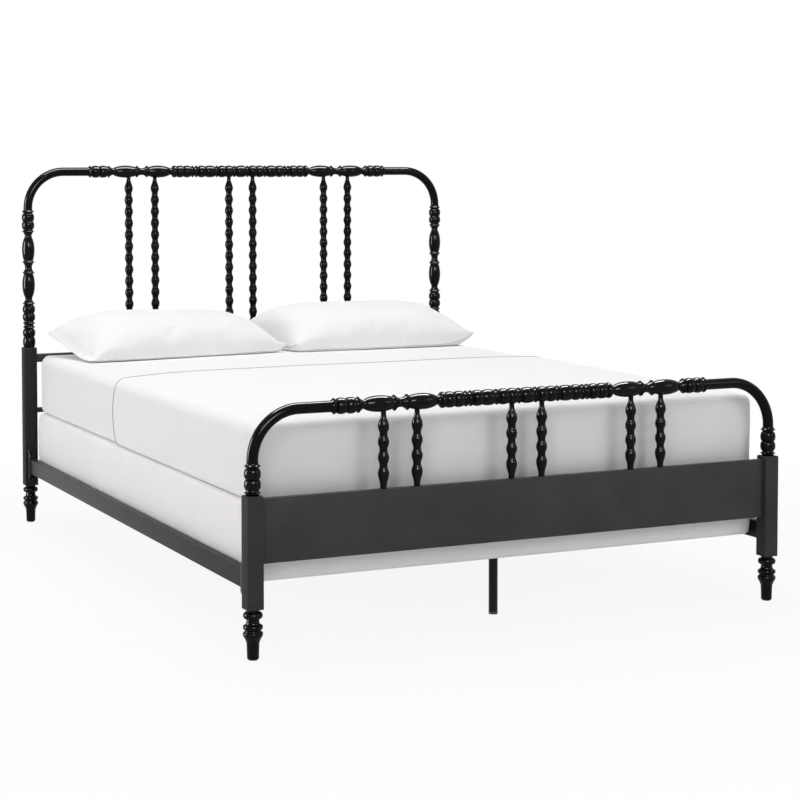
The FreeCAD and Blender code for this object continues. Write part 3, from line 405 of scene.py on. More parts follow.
plastic, plastic_in, plastic_out = group(
    "moulded_plastic",
    [("Colour", COLOUR, (0.02, 0.02, 0.02, 1)), ("Gloss", FLOAT, 0.55), ("Peel", FLOAT, 0.3)],
    [("Colour", COLOUR), ("Roughness", FLOAT), ("Normal", NORMAL)],
)
coords = plastic.nodes.new("ShaderNodeTexCoord").outputs["Object"]
scuffs = scaled_noise(plastic, coords, 90, 6, stretch=(1, 0.2, 1))
stipple = scaled_noise(plastic, coords, 900, 1)
scuffed = blended(
    plastic, ranged(plastic, scuffs, 0, 0.3, 0.5, 0.8), plastic_in.outputs["Colour"], (0.12, 0.12, 0.12, 1)
)
worn = plastic.nodes.new("ShaderNodeMath")
worn.operation = "ADD"
pits = plastic.nodes.new("ShaderNodeBump")
pits.inputs["Distance"].default_value = 0.0002
link(
    plastic,
    (plastic_in.outputs["Gloss"], worn.inputs[0]),
    (ranged(plastic, scuffs, -0.05, 0.15), worn.inputs[1]),
    (plastic_in.outputs["Peel"], pits.inputs["Strength"]),
    (stipple, pits.inputs["Height"]),
    (scuffed, plastic_out.inputs["Colour"]),
    (worn.outputs[0], plastic_out.inputs["Roughness"]),
    (pits.outputs[0], plastic_out.inputs["Normal"]),
)
black_nylon = finish_of("black_nylon", plastic, {"Colour": (0.015, 0.015, 0.015, 1), "Gloss": 0.5})


def paint_node(node, material):
    """Gives a CAD node that keeps its shape its own finish."""
    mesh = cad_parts[node].data
    mesh.materials.clear()
    mesh.materials.append(material)


paint_node("foot_glides", black_nylon)

# ---- posts ---------------------------------------------------------------------------------------
# Four square posts of solid wood with eased edges. Each takes the plug of a foot below, the plug of
# a stile above and the tongues of the panel or crossrails in its inner face.

satin_black = finish_of(
    "satin_black", paint,
    {"Colour": (0.053, 0.053, 0.0532, 1), "Gloss": 0.48, "Peel": 0.1, "Grain": 0.06},
    Specular_IOR_Level=0.015,
)
# Darker copy of the post paint, for the head posts: painted shade.
painted_shade_black = finish_of(
    "painted_shade_black", paint,
    {"Colour": (0.029, 0.029, 0.0292, 1), "Gloss": 0.44, "Peel": 0.1, "Grain": 0.06},
    Specular_IOR_Level=0.02,
)
# The head posts look darker in the photograph than the foot posts, so they wear a darker copy
# of the same paint: painted shade.
POST_FINISH = {"foot": satin_black, "head": painted_shade_black}


def eased(node, width, segments=2):
    """Copy of a CAD node with its sharp edges rounded."""
    shape = bmesh.new()
    shape.from_mesh(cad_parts[node].data)
    bmesh.ops.remove_doubles(shape, verts=shape.verts, dist=1e-5)
    bmesh.ops.dissolve_limit(shape, angle_limit=math.radians(1.5), verts=shape.verts, edges=shape.edges)
    sharp = [e for e in shape.edges if len(e.link_faces) == 2 and e.calc_face_angle() > math.radians(32)]
    bmesh.ops.bevel(
        shape, geom=sharp, offset=width, offset_type="OFFSET", segments=segments, profile=0.5,
        affect="EDGES", material=-1, clamp_overlap=True,
    )
    return shape


for end in ENDS:
    for side in SIDES:
        node = f"{end}_post_{side}"
        put(eased(node, 1.4 * MM), f"{node}_eased", "frame", "black_wood", POST_FINISH[end], node,
            crease=60)

# ---- top rails and stiles ------------------------------------------------------------------------
# Hardwood turnings of the head and foot frames: beads, thin rings and long vases, one run mirrored
# about the middle of a rail and stood upright in the stiles. Lacquered before assembly.

GROOVE, CREST, NECK, WAIST = 16.0, 21.75, 12.0, 12.25
BELLY_FROM_END, SWELL = 35, 54
RING_SIDE = [(0, 16), (0.15, 16.3), (0.27, 17.2), (0.36, 19), (0.43, 20.9), (0.5, 21.4)]
CENTRE_RUN = ["ring", "bead", "bead", "ring", "long", "bead", "ring", "ring", "bead", "bead", "collar"]
VASES = ["rising", "ring", "waist", "ring", "falling"]
END_RUN = ["ring", "bead", "bead", "ring"]
LENGTHS = {"ring": 14, "bead": 27, "long": 37, "collar": 15, "waist": 23}


def vase_points(start, length, rising):
    """Vase: a quick fall to a short neck, then one long full swelling that closes at the far end."""
    points = [(0, GROOVE), (2.5, 13.6), (5.5, 12.2), (8.5, NECK), (11.5, 12.6)]
    neck_end = points[-1][0]
    belly = length - BELLY_FROM_END
    for k in range(1, 15):
        along = neck_end + (belly - neck_end) * k / 14
        points.append((along, CREST * math.sqrt(1 - ((belly - along) / SWELL) ** 2)))
    for k in range(1, 9):
        along = belly + (length - belly) * k / 8
        points.append((along, CREST * math.sqrt(1 - ((along - belly) / SWELL) ** 2)))
    points = [(along, max(radius, NECK)) for along, radius in points]
    if not rising:
        points = [(length - along, radius) for along, radius in reversed(points)]
    return [(start + along, radius) for along, radius in points]


def turned_line(elements, start, vase):
    """Outline of a run of named elements from a height upwards, without doubled points."""
    points = []
    at = start
    for kind in elements:
        length = LENGTHS.get(kind, vase)
        if kind == "ring":
            for along, radius in RING_SIDE:
                points.append((at + along * length, radius))
            for along, radius in reversed(RING_SIDE[:-1]):
                points.append((at + (1 - along) * length, radius))
        elif kind in ("bead", "long", "collar"):
            arch(points, at, length, GROOVE, CREST, 12)
        elif kind == "waist":
            points.append((at, GROOVE))
            sweep(points, length / 2, WAIST, "end", 5)
            sweep(points, length / 2, GROOVE, "start", 5)
        else:
            points += vase_points(at, length, kind == "rising")
        at += length
    outline = [points[0]]
    for point in points[1:]:
        if abs(point[0] - outline[-1][0]) + abs(point[1] - outline[-1][1]) > 0.02:
            outline.append(point)
    return outline


MIRRORED = {"rising": "falling", "falling": "rising"}
half_rail = CENTRE_RUN + VASES + END_RUN
rail_elements = [MIRRORED.get(kind, kind) for kind in reversed(half_rail)] + ["long"] + half_rail
RAIL_HALF, RAIL_VASE, STILE_VASE = 572.5, 89, 93
RAIL_HEIGHT = {"foot": 631.4, "head": 1221.0}
QUARTER_TURN = Matrix.Rotation(math.radians(90), 3, "Y")
rail_line = turned_line(rail_elements, -RAIL_HALF, RAIL_VASE)

for end in ENDS:
    low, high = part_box(f"{end}_rail")
    shape = on_lathe(rail_line)
    bmesh.ops.rotate(shape, verts=shape.verts, cent=(0, 0, 0), matrix=QUARTER_TURN)
    bmesh.ops.translate(shape, verts=shape.verts, vec=(0, (low.y + high.y) / 2, (low.z + high.z) / 2))
    put(shape, f"{end}_rail_turning", "frame", "black_gloss_wood", black_lacquer, f"{end}_rail")

# Height in millimetres at which a stile starts, and its run from there up.
STILE_RUNS = {
    "foot": (417.6, END_RUN),
    "head": (611.0, ["long", "bead", "ring", "ring", "bead", "bead", "ring"] + VASES + END_RUN),
}
for end, (start, elements) in STILE_RUNS.items():
    stile_line = turned_line(elements, start, STILE_VASE)
    for side in SIDES:
        node = f"{end}_stile_{side}"
        low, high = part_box(node)
        shape = on_lathe(stile_line, 40)
        bmesh.ops.translate(shape, verts=shape.verts, vec=((low.x + high.x) / 2, (low.y + high.y) / 2, 0))
        put(shape, f"{node}_turning", "frame", "black_gloss_wood", black_lacquer, node)

# ---- bent corners --------------------------------------------------------------------------------
# Round steel tube bent a quarter turn, powder coated in the same black. A socket at each end holds
# the plug of the stile and the plug of the top rail.

TUBE, BEND = 15.0, 127.0
STILE_END = {"foot": 499.6, "head": 1090.0}
black_tube = finish_of(
    "black_tube", paint, {"Colour": (0.003, 0.003, 0.0032, 1), "Gloss": 0.13, "Peel": 0.06},
    Specular_IOR_Level=0.07,
)


def only(kind, geom):
    """Keeps the vertices or the edges of what an operator gives back."""
    return [g for g in geom if isinstance(g, kind)]


for end in ENDS:
    rail_height, stile_end = RAIL_HEIGHT[end], STILE_END[end]
    for side, sign in SIDES.items():
        node = f"{end}_corner_{side}"
        low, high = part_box(node)
        outer = max(abs(low.x), abs(high.x)) - TUBE * MM
        shape = bmesh.new()
        ring = bmesh.ops.create_circle(shape, segments=32, radius=TUBE * MM)["verts"]
        bmesh.ops.translate(shape, verts=ring, vec=(outer, 0, stile_end * MM))
        rim = shape.edges[:]
        shape.faces.new(ring)
        rise = (rail_height - BEND - stile_end) * MM
        grown = bmesh.ops.extrude_edge_only(shape, edges=rim)["geom"]
        bmesh.ops.translate(shape, verts=only(bmesh.types.BMVert, grown), vec=(0, 0, rise))
        last = bmesh.ops.spin(
            shape, geom=only(bmesh.types.BMEdge, grown), steps=28,
            cent=(outer - BEND * MM, 0, (rail_height - BEND) * MM), axis=(0, -1, 0), angle=math.radians(90),
        )["geom_last"]
        tail = bmesh.ops.extrude_edge_only(shape, edges=only(bmesh.types.BMEdge, last))["geom"]
        tip = only(bmesh.types.BMVert, tail)
        bmesh.ops.translate(shape, verts=tip, vec=(RAIL_HALF * MM - outer + BEND * MM, 0, 0))
        bmesh.ops.contextual_create(shape, geom=tip)
        bmesh.ops.recalc_face_normals(shape, faces=shape.faces)
        if sign < 0:
            bmesh.ops.scale(shape, verts=shape.verts, vec=(-1, 1, 1))
            bmesh.ops.reverse_faces(shape, faces=shape.faces)
        bmesh.ops.translate(shape, verts=shape.verts, vec=(0, (low.y + high.y) / 2, 0))
        put(shape, f"{node}_tube", "frame", "black_gloss_steel", black_tube, node)

# ---- spindles ------------------------------------------------------------------------------------
# Six slim spindles at each end, in three pairs, turned from hardwood and lacquered. Each is a string
# of soft even beads, pinned in the underside of the rail and in what spans the posts.

BEAD, THROAT = 15.0, 10.5
TOP_NECK, NECK_LENGTH, LET_IN = 7.0, 32, 14
BASE, BASE_LENGTH = 8.5, 6
LOWEST_RISE, HIGHEST_DROP = 40, 60.0
SPINDLE_BASE = {"foot": 409.0, "head": 587.0}
BEAD_COUNT = {"foot": 4, "head": 14}


def spindle_line(base, rail_height, beads):
    """Outline of one spindle from what it stands on up into the rail."""
    lowest = base + LOWEST_RISE
    pitch = (rail_height - HIGHEST_DROP - lowest) / (beads - 1)
    points = [(base, BASE), (base + BASE_LENGTH, BASE)]
    sweep(points, lowest - base - BASE_LENGTH, BEAD, "both", 9)
    for k in range(1, (beads - 1) * 12 + 1):
        wave = math.cos(2 * math.pi * k / 12)
        radius = (BEAD + THROAT) / 2 + (BEAD - THROAT) / 2 * wave * (1.3 - 0.3 * wave**2)
        points.append((lowest + pitch * k / 12, radius))
    sweep(points, NECK_LENGTH, TOP_NECK, "both", 9)
    points.append((rail_height - LET_IN, TOP_NECK))
    return points


for end in ENDS:
    line = spindle_line(SPINDLE_BASE[end], RAIL_HEIGHT[end], BEAD_COUNT[end])
    for pair in ("left", "middle", "right"):
        node = f"{end}_spindles_{pair}"
        low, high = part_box(node)
        shape = bmesh.new()
        for x in (low.x + BEAD * MM, high.x - BEAD * MM):
            one = on_lathe(line, 24)
            bmesh.ops.translate(one, verts=one.verts, vec=(x, (low.y + high.y) / 2, 0))
            made = bpy.data.meshes.new("one_spindle")
            one.to_mesh(made)
            one.free()
            shape.from_mesh(made)
            bpy.data.meshes.remove(made)
        put(shape, f"{node}_turning", "frame", "black_gloss_wood", black_lacquer, node)

# ---- foot panel and head crossrails --------------------------------------------------------------
# A plain board between the foot posts and two narrow boards between the head posts, each with a
# tongue at both ends. Sprayed satin black, the wood grain just showing through.

board_black = finish_of(
    "board_black", paint,
    {"Colour": (0.055, 0.0555, 0.0555, 1), "Gloss": 0.46, "Peel": 0.08, "Grain": 0.16},
    Specular_IOR_Level=0.07,
)
for node in ("foot_panel", "head_upper_crossrail", "head_lower_crossrail"):
    put(eased(node, 1.6 * MM, 3), f"{node}_board", "frame", "black_wood", board_black, node,
        crease=60)

# ---- side rails, brackets and their bolts --------------------------------------------------------
# Rectangular steel tubes along both sides. An angle bracket is welded outside each end, and two
# blackened bolts hold its flange to the post.

powder_black = finish_of(
    "powder_black", paint, {"Colour": (0.02, 0.02, 0.0202, 1), "Gloss": 0.32, "Peel": 0.3},
    Specular_IOR_Level=0.07,
)
for side in SIDES:
    node = f"side_rail_{side}"
    put(eased(node, 7 * MM, 5), f"{node}_tube", "frame", "black_steel", powder_black, node, crease=60)
    for end in ENDS:
        node = f"rail_bracket_{end}_{side}"
        put(eased(node, 0.8 * MM), f"{node}_plate", "frame", "black_steel", powder_black, node, crease=60)

paint_node("bracket_bolts", powder_black)

# ---- cross supports, cradles and centre legs -----------------------------------------------------
# Three square steel tubes lie across the bed in cradles welded inside the side rails. A round leg
# hangs under the middle of each in a bolted saddle, with a nylon insert and a levelling disc. The
# bolts and nuts of the legs are zinc plated.

zinc = finish_of(
    "zinc_plate", plastic, {"Colour": (0.42, 0.42, 0.43, 1), "Gloss": 0.3, "Peel": 0.2}, Metallic=1.0
)
for node in ("leg_bolts", "leg_nuts"):
    paint_node(node, zinc)
for name in ("foot", "middle", "head"):
    put(eased(f"cross_support_{name}", 1.2 * MM), f"cross_support_{name}_tube", "frame", "black_steel",
        powder_black, f"cross_support_{name}", crease=60)
    put(eased(f"centre_leg_{name}", 0.5 * MM, 1), f"centre_leg_{name}_tube", "frame", "black_steel",
        powder_black, f"centre_leg_{name}", crease=50)
    paint_node(f"leg_leveller_{name}", black_nylon)
put(eased("support_cradles", 0.7 * MM), "support_cradles_plate", "frame", "black_steel", powder_black,
    "support_cradles", crease=60)
paint_node("leg_inserts", black_nylon)

# ---- box spring ----------------------------------------------------------------------------------
# Upholstered foundation: a wooden frame and springs, covered in thick knitted ticking whose sides
# swell a little half way up.

cloth, cloth_in, cloth_out = group(
    "woven_cloth",
    [
        ("Colour", COLOUR, (0.85, 0.85, 0.86, 1)),
        ("Shade", COLOUR, (0.78, 0.78, 0.8, 1)),
        ("Thread", FLOAT, 900.0),
        ("Weave", FLOAT, 0.15),
        ("Creases", FLOAT, 0.2),
    ],
    [("Colour", COLOUR), ("Roughness", FLOAT), ("Normal", NORMAL)],
)
coords = cloth.nodes.new("ShaderNodeTexCoord").outputs["Object"]
threads = []
for axis in "XYZ":
    wave = cloth.nodes.new("ShaderNodeTexWave")
    wave.bands_direction = axis
    wave.inputs["Distortion"].default_value = 1.2
    wave.inputs["Detail"].default_value = 1.0
    wave.inputs["Detail Scale"].default_value = 0.6
    link(cloth, (coords, wave.inputs["Vector"]), (cloth_in.outputs["Thread"], wave.inputs["Scale"]))
    threads.append(wave.outputs["Fac"])
crossing = cloth.nodes.new("ShaderNodeMath")
crossing.operation = "MULTIPLY_ADD"
link(cloth, *zip(threads, crossing.inputs))
slub = scaled_noise(cloth, coords, 70, 4, stretch=(0.25, 1, 1))
soft = scaled_noise(cloth, coords, 11, 5)
fold = scaled_noise(cloth, coords, 5, 3, stretch=(1, 0.55, 1))
toned = blended(cloth, ranged(cloth, soft, 0, 0.5), cloth_in.outputs["Colour"], cloth_in.outputs["Shade"])
slubbed = blended(cloth, ranged(cloth, slub, 0, 0.25, 0.45, 0.75), toned, cloth_in.outputs["Shade"])
weave_bump = cloth.nodes.new("ShaderNodeBump")
weave_bump.inputs["Distance"].default_value = 0.0003
crease_bump = cloth.nodes.new("ShaderNodeBump")
crease_bump.inputs["Distance"].default_value = 0.006
link(
    cloth,
    (cloth_in.outputs["Weave"], weave_bump.inputs["Strength"]),
    (crossing.outputs[0], weave_bump.inputs["Height"]),
    (cloth_in.outputs["Creases"], crease_bump.inputs["Strength"]),
    (fold, crease_bump.inputs["Height"]),
    (weave_bump.outputs[0], crease_bump.inputs["Normal"]),
    (slubbed, cloth_out.inputs["Colour"]),
    (ranged(cloth, slub, 0.78, 0.92), cloth_out.inputs["Roughness"]),
    (crease_bump.outputs[0], cloth_out.inputs["Normal"]),
)
ticking = finish_of(
    "ticking", cloth,
    {"Colour": (0.93, 0.918, 0.905, 1), "Shade": (0.88, 0.865, 0.85, 1), "Thread": 420.0, "Weave": 0.3},
    Specular_IOR_Level=0.2, Sheen_Weight=0.08,
)


def padded_block(low, high, corner, top_edge, bottom_edge, step):
    """Upholstered block: rounded upright corners and edges, cut into cells that can be moved."""
    shape = bmesh.new()
    bmesh.ops.create_cube(shape, size=1)
    bmesh.ops.scale(shape, verts=shape.verts, vec=high - low)
    bmesh.ops.translate(shape, verts=shape.verts, vec=(high + low) / 2)

    def rounded(edges, radius, segments):
        bmesh.ops.bevel(
            shape, geom=edges, offset=radius, offset_type="OFFSET", segments=segments, profile=0.5,
            affect="EDGES", material=-1,
        )

    rounded([e for e in shape.edges if abs(e.verts[0].co.z - e.verts[1].co.z) > 1e-4], corner, 8)
    for height, radius in ((high.z, top_edge), (low.z, bottom_edge)):
        level = [e for e in shape.edges if all(abs(v.co.z - height) < 1e-6 for v in e.verts)]
        rounded(level, radius, 6)
    for axis in range(3):
        normal = Vector((0, 0, 0))
        normal[axis] = 1
        cell = step if axis < 2 else step * 0.6
        span = high[axis] - low[axis]
        count = max(2, round(span / cell))
        for k in range(1, count):
            at = Vector(low)
            at[axis] += span * k / count
            parts = shape.verts[:] + shape.edges[:] + shape.faces[:]
            bmesh.ops.bisect_plane(shape, geom=parts, plane_co=at, plane_no=normal, dist=1e-6)
    return shape


def ripple(point, size, seed):
    """Smooth random value between -1 and 1 at a point, with swells of about this size."""
    return noise.noise(Vector(point) / size + Vector((seed, seed * 0.7, seed * 1.3)))


def puff(shape, amount, sizes, seed, hold):
    """Moves every point along its normal by soft swells of several (size, share)."""
    shape.normal_update()
    moves = []
    for vert in shape.verts:
        swell = sum(part * ripple(vert.co, size, seed + k) for k, (size, part) in enumerate(sizes))
        moves.append(vert.normal * swell * amount * hold(vert.co))
    for vert, move in zip(shape.verts, moves):
        vert.co += move


SPRING_REACH = 13 * MM
SIDE_CROWN, SIDE_BAND = 4.5 * MM, 30 * MM

low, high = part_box("box_spring")
high = high + Vector((0, SPRING_REACH, 0))
inset = Vector((1, 1, 0)) * 3 * MM
shape = padded_block(low + inset, high - inset, corner=24 * MM, top_edge=15 * MM, bottom_edge=11 * MM,
                     step=0.045)
middle = (low.z + high.z) / 2
for vert in shape.verts:
    upright = 1 - min(1.0, abs(vert.co.z - middle) / (high.z - middle)) ** 3
    for axis in (0, 1):
        if abs(vert.co[axis]) > high[axis] - SIDE_BAND:
            vert.co[axis] += math.copysign(SIDE_CROWN * upright, vert.co[axis])


def off_the_faces(point):
    """1 on the sides of the box spring, 0 where it lies on something or something lies on it."""
    return 1 if low.z + 10 * MM < point.z < high.z - 4 * MM else 0


puff(shape, 1.6 * MM, [(0.3, 1.0), (0.12, 0.5)], 11, hold=off_the_faces)
box_spring = put(shape, "box_spring_ticking", "box_spring", "white_ticking", ticking, "box_spring",
                 crease=70)

# ---- mattress ------------------------------------------------------------------------------------
# Foam and spring mattress in its fitted sheet: the sheet is drawn round all edges, so that it shows
# soft swells and a few upright tension folds beside the corners.

percale = finish_of(
    "percale", cloth,
    {"Colour": (0.87, 0.87, 0.88, 1), "Shade": (0.83, 0.83, 0.845, 1), "Thread": 1000.0, "Weave": 0.12,
     "Creases": 0.12},
    Specular_IOR_Level=0.25, Sheen_Weight=0.1,
)
mattress_low, mattress_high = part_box("mattress")
MATTRESS_REACH = 21 * MM
mattress_high = mattress_high + Vector((0, MATTRESS_REACH, 0))
EDGE, UNDER_EDGE, UNDER_COVER, TUCKED = 30 * MM, 22 * MM, 1.5 * MM, 20 * MM
FOLD_CORNER, FOLD_REACH = Vector((0.74, 0.99)), 0.3


def mattress_swell(point):
    """How far the cloth on the mattress stands proud or sinks at a place."""
    broad = 1.6 * ripple(point, 0.45, 3) + 0.7 * ripple(point, 0.16, 5)
    to_corner = (Vector((abs(point.x), abs(point.y))) - FOLD_CORNER).length
    folds = math.sin(point.y * 52 + 3 * ripple(point, 0.2, 8)) * max(0.0, FOLD_REACH - to_corner) * 4
    return (broad + folds) * MM


def above_bottom(point):
    """1 above the lower edge of the mattress, 0 where the cloth is tucked in."""
    return 1.0 if point.z > mattress_low.z + TUCKED else 0.0


def lay_on_mattress(shape, lift):
    """Moves the cloth by the swells of the mattress below it."""
    shape.normal_update()
    moves = [v.normal * (mattress_swell(v.co) * above_bottom(v.co) + lift) for v in shape.verts]
    for vert, move in zip(shape.verts, moves):
        vert.co += move


def squared(shape, low, high, axis, other, towards, power=4.5):
    """Makes the rounded edge between two faces of a block crisper, a superellipse in place of an arc."""
    for vert in shape.verts:
        centre = [0.0, 0.0]
        out = [0.0, 0.0]
        for k, (direction, sign) in enumerate(zip((axis, other), towards)):
            centre[k] = high[direction] - EDGE if sign > 0 else low[direction] + EDGE
            out[k] = (vert.co[direction] - centre[k]) * sign
        if min(out) > 0:
            grown = math.hypot(*out) / (out[0] ** power + out[1] ** power) ** (1 / power)
            vert.co[axis] = centre[0] + towards[0] * out[0] * grown
            vert.co[other] = centre[1] + towards[1] * out[1] * grown


def mattress_block(grow_low, grow_high, step):
    """Block of the mattress, let out at each side, with crisp edges round its foot end."""
    low, high = mattress_low - grow_low, mattress_high + grow_high
    shape = padded_block(low, high, EDGE, EDGE, UNDER_EDGE, step)
    squared(shape, low, high, 1, 2, (-1, 1))
    for side in (-1, 1):
        squared(shape, low, high, 0, 1, (side, -1))
    return shape


shape = mattress_block(Vector((-1, -1, 0)) * UNDER_COVER, Vector((-1, -1, -1)) * UNDER_COVER, 0.035)
lay_on_mattress(shape, 0)
mattress = put(shape, "mattress_fitted", "mattress", "white_cotton", percale, "mattress", crease=70)

# ---- coverlet ------------------------------------------------------------------------------------
# Flat cotton cover drawn over the foot of the mattress and tucked under it at the foot and along
# both sides. Its turned hem crosses the bed 0.25 m from the middle towards the head and bows down
# towards both sides. Its edge is a thicker strip coloured dark brown: painted shadow of the fold.

# Thickness of the cloth, and of the strip along the hem that is painted dark as shadow.
COVER_THICK, SHADOW_BAND_THICK = 2.4 * MM, 4.6 * MM
COVER_OUT = Vector((1.2, 1.2, 1.8)) * MM
COVER_LIFT, DOUBLE_LIFT, CUT_ABOVE = 1.6 * MM, 0.9 * MM, 4 * MM
HEM, TURNED, STITCH = 0.25, 26 * MM, 3 * MM
# Width of the strip painted dark along the hem as shadow, and how far it reaches past the hem.
SHADOW_BAND_WIDTH, OVERHANG = 6 * MM, 0.8 * MM
BOW_START, BOW_WIDTH = 0.45, 0.315
BOW_LEFT, BOW_RIGHT, BOW_REACH = 0.10, 0.06, 0.35
SIDE_BOW, SIDE_BACK = 0.034, 0.012


def cut_at(shape, place, normal, drop=True):
    """Cuts the cloth along a plane and, if asked, drops what lies beyond it."""
    bmesh.ops.bisect_plane(shape, geom=shape.verts[:] + shape.edges[:] + shape.faces[:], plane_co=place,
                           plane_no=normal, dist=1e-6, clear_outer=drop)


def hem_bow(point):
    """How far the hem lies from a straight line: drawn down at the sides, most at the left."""
    aside = min(1.0, max(0.0, (abs(point.x) - BOW_START) / BOW_WIDTH))
    drop = (mattress_high.z - point.z) / (mattress_high.z - mattress_low.z)
    down_side = (SIDE_BOW * math.sin(math.pi * min(1.0, drop)) - SIDE_BACK) * aside
    return down_side - (BOW_LEFT if point.x < 0 else BOW_RIGHT) * aside * aside


def cover_cloth(end, start=None):
    """Coverlet from the foot of the bed, or from a start, to an end, both as the y that they lie at."""
    shape = mattress_block(COVER_OUT * Vector((1, 1, 0)), COVER_OUT, 0.03)
    cut_at(shape, Vector((0, end, 0)), Vector((0, 1, 0)))
    if start is not None:
        cut_at(shape, Vector((0, start, 0)), Vector((0, -1, 0)))
    for stitch in (HEM - TURNED, HEM - TURNED - STITCH):
        cut_at(shape, Vector((0, stitch, 0)), Vector((0, 1, 0)), drop=False)
    cut_at(shape, Vector((0, 0, mattress_low.z + CUT_ABOVE)), Vector((0, 0, -1)))
    lay_on_mattress(shape, COVER_LIFT)
    shape.normal_update()
    turned = [v.normal * (DOUBLE_LIFT if v.co.y > HEM - TURNED + 1 * MM else 0) for v in shape.verts]
    for vert, lift in zip(shape.verts, turned):
        reach = max(0.0, 1 - (HEM - vert.co.y) / BOW_REACH)
        vert.co += lift * above_bottom(vert.co)
        vert.co.y += hem_bow(vert.co) * reach * reach
    return shape


def thickened(piece, thickness):
    """Gives a sheet of cloth its thickness, half to each side."""
    modifier = piece.modifiers.new("thickness", "SOLIDIFY")
    modifier.thickness = thickness
    modifier.offset = 0


coverlet = put(cover_cloth(HEM), "coverlet_cloth", "mattress", "white_cotton", percale, "coverlet",
               crease=70)
thickened(coverlet, COVER_THICK)
# The hem's edge is a thicker strip in dark brown cloth: the colour is painted shadow of the fold.
hem_shadow_paint = finish_of(
    "hem_painted_shadow", cloth,
    {"Colour": (0.37, 0.325, 0.31, 1), "Shade": (0.29, 0.255, 0.24, 1), "Thread": 1400.0, "Weave": 0.4},
    Specular_IOR_Level=0.2,
)
hem_shadow_band = put(cover_cloth(HEM + OVERHANG, HEM - SHADOW_BAND_WIDTH), "coverlet_hem_shadow_band", "mattress",
              "white_cotton", hem_shadow_paint, crease=70)
thickened(hem_shadow_band, SHADOW_BAND_THICK)

# ---- pillows -------------------------------------------------------------------------------------
# Two soft pillows in cotton cases, plump in the middle and thin along the seams. They lie loose in
# front of the head spindles, and their back edges ride up.

REST = mattress_high.z + 0.3 * MM
SAG, SEAM_HALF = 20 * MM, 2.5 * MM
FRONT_BOW, FRONT_BULGE, SIDE_PULL = 14 * MM, 15 * MM, 13 * MM
UNDERSIDE = 0.6


def crease_depth(u, v, creases):
    """Depth of the soft creases at a place of a pillow, given as (u, v) start and end and a depth."""
    depth = 0.0
    for start_u, start_v, end_u, end_v, deep in creases:
        start, line = Vector((start_u, start_v)), Vector((end_u - start_u, end_v - start_v))
        along = min(1.0, max(0.0, (Vector((u, v)) - start).dot(line) / line.length_squared))
        aside = Vector((u, v)) - start - line * along
        width = 0.018 + 0.02 * along
        away = (aside.x * 2.1 / width) ** 2 + (aside.y / width) ** 2
        depth += deep * math.exp(-away / 4) * (1 - 0.7 * along)
    return depth


def pillow_blank(corners, loft, lean, open_end, ears, fullness, creases, cells=(92, 46)):
    """Bag over four seam corners, filled to a first loft, with the open end of its case if asked."""
    front_left, front_right, back_left, back_right = map(Vector, corners)
    shape = bmesh.new()
    bmesh.ops.create_grid(shape, x_segments=cells[0], y_segments=cells[1], size=0.5)
    faces = shape.faces[:]
    grown = bmesh.ops.extrude_face_region(shape, geom=faces)["geom"]
    upper = {v for v in grown if isinstance(v, bmesh.types.BMVert)}
    bmesh.ops.reverse_faces(shape, faces=faces)
    for vert in shape.verts:
        u, v = vert.co.x + 0.5, vert.co.y + 0.5
        front = front_left.lerp(front_right, u)
        back = back_left.lerp(back_right, u)
        seam = front.lerp(back, v)
        inner = max(0.0, (u - open_end) / (1 - open_end))
        power = fullness[0] if inner < 0.5 else fullness[1]
        lengthways = (1 - abs(2 * inner - 1) ** power) ** 0.6
        crossways = (1 - abs(2 * v - 1) ** 2.5) ** 0.5
        full = lengthways * crossways * (1 - lean * u * u)
        seam.z -= SAG * 4 * v * (1 - v) * abs(2 * u - 1) ** 6
        for from_end, (lift, width) in zip((u, 1 - u), ears):
            seam.z += lift * max(0.0, 1 - from_end / width) ** 2 * (1 - v) ** 6
        if vert in upper:
            seam.z += loft * full + SEAM_HALF - crease_depth(u, v, creases)
            seam.y -= FRONT_BULGE * math.sin(math.pi * full) * (1 - v) ** 2
        else:
            seam.z -= UNDERSIDE * loft * full + SEAM_HALF
        seam.y -= FRONT_BOW * (1 - abs(2 * u - 1) ** 3)
        seam.x -= SIDE_PULL * (1 - abs(2 * v - 1) ** 2) * (2 * u - 1)
        seam.z = max(seam.z, REST + (1.2 * MM if vert in upper else 0))
        vert.co = seam
    return shape


def filled(piece, pressure, frames, most):
    """Lets the filling press the cloth out, each point kept near its start and above the mattress."""
    start = [v.co.copy() for v in piece.data.vertices]
    lying = piece.vertex_groups.new(name="lying")
    lying.add([k for k, place in enumerate(start) if place.z < REST + 9 * MM], 1.0, "REPLACE")
    modifier = piece.modifiers.new("filling", "CLOTH")
    settings = modifier.settings
    settings.vertex_group_mass = "lying"
    settings.quality = 6
    settings.mass = 0.15
    settings.tension_stiffness = 14
    settings.compression_stiffness = 14
    settings.shear_stiffness = 5
    settings.bending_stiffness = 0.8
    settings.shrink_min = -0.012
    settings.use_pressure = True
    settings.uniform_pressure_force = pressure
    settings.effector_weights.gravity = 0
    modifier.point_cache.frame_end = frames
    for step in range(1, frames + 1):
        scene.frame_set(step)
    shaped = piece.evaluated_get(bpy.context.evaluated_depsgraph_get())
    moves = [last.co - first for first, last in zip(start, shaped.data.vertices)]
    piece.modifiers.remove(modifier)
    scene.frame_set(1)
    for vert, first, move in zip(piece.data.vertices, start, moves):
        vert.co = first + move * min(1.0, most / max(move.length, 1e-9))
        vert.co.z = max(vert.co.z, REST)


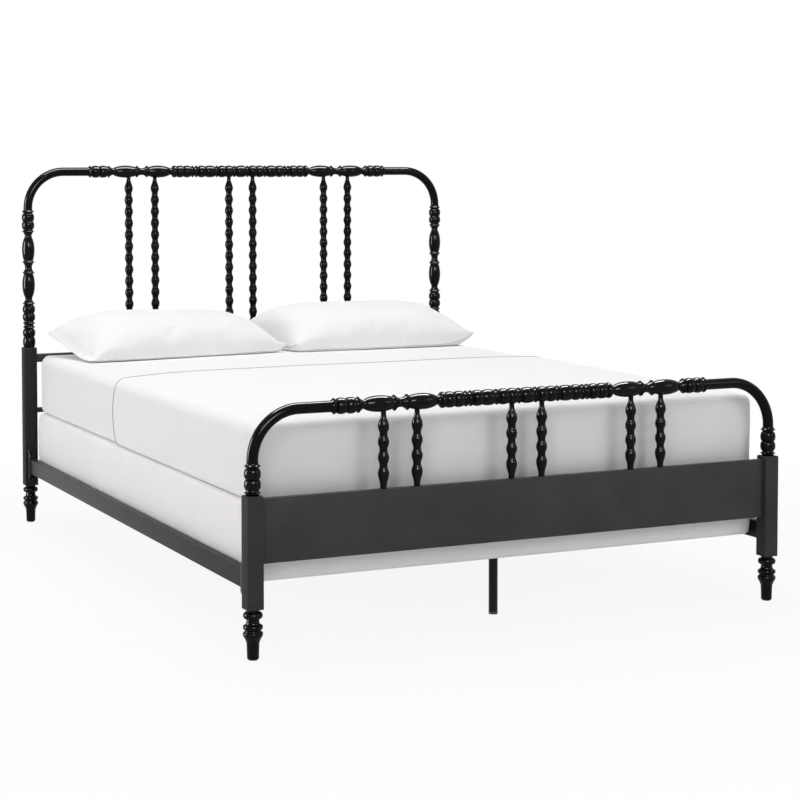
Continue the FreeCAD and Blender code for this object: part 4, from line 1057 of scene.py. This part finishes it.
cotton_case = finish_of(
    "cotton_case", cloth,
    {"Colour": (0.88, 0.88, 0.885, 1), "Shade": (0.85, 0.85, 0.86, 1), "Thread": 1000.0, "Weave": 0.12,
     "Creases": 0.1},
    Specular_IOR_Level=0.25, Sheen_Weight=0.12,
)
# Creases as the (u, v) where one starts and ends, u to the right and v to the back, and its depth.
CORNER_CREASES = [
    (0.02, 0.06, 0.17, 0.24, 3.0 * MM),
    (0.98, 0.05, 0.84, 0.26, 3.5 * MM),
    (0.97, 0.93, 0.83, 0.74, 3.0 * MM),
    (0.99, 0.30, 0.88, 0.42, 2.5 * MM),
]
PILLOWS = {
    "left": {
        "corners": (
            (-0.685, 0.688, 0.594), (0.053, 0.768, 0.595),
            (-0.742, 1.000, 0.664), (-0.040, 1.018, 0.652),
        ),
        "loft": 0.098,
        "lean": 0.14,
        "open_end": 0.02,
        "ears": ((0.0, 0.1), (0.024, 0.05)),
        "fullness": (4, 7),
        "creases": CORNER_CREASES + [
            (0.40, 0.10, 0.56, 0.30, 4.0 * MM),
            (0.20, 0.52, 0.44, 0.60, 1.5 * MM),
        ],
    },
    "right": {
        "corners": (
            (0.077, 0.732, 0.596), (0.779, 0.722, 0.597),
            (-0.014, 1.015, 0.660), (0.765, 1.008, 0.662),
        ),
        "loft": 0.101,
        "lean": 0.08,
        "open_end": 0.0,
        "ears": ((0.024, 0.05), (0.039, 0.20)),
        "fullness": (6, 4),
        "creases": CORNER_CREASES + [
            (0.04, 0.05, 0.24, 0.14, 3.0 * MM),
            (0.60, 0.48, 0.80, 0.60, 1.5 * MM),
        ],
    },
}
for side, made in PILLOWS.items():
    pillow = put(pillow_blank(**made), f"pillow_{side}_case", f"pillow_{side}", "white_cotton", cotton_case,
                 f"pillow_{side}", crease=80)
    filled(pillow, pressure=1.2, frames=14, most=10 * MM)
    smooth = pillow.modifiers.new("smooth", "SUBSURF")
    smooth.levels = 1
    smooth.render_levels = 1

# ---- size ----------------------------------------------------------------------------------------
# The box of what shows, in metres. The bedding may stand a little proud of the first one, and
# nothing else may.

low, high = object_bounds()
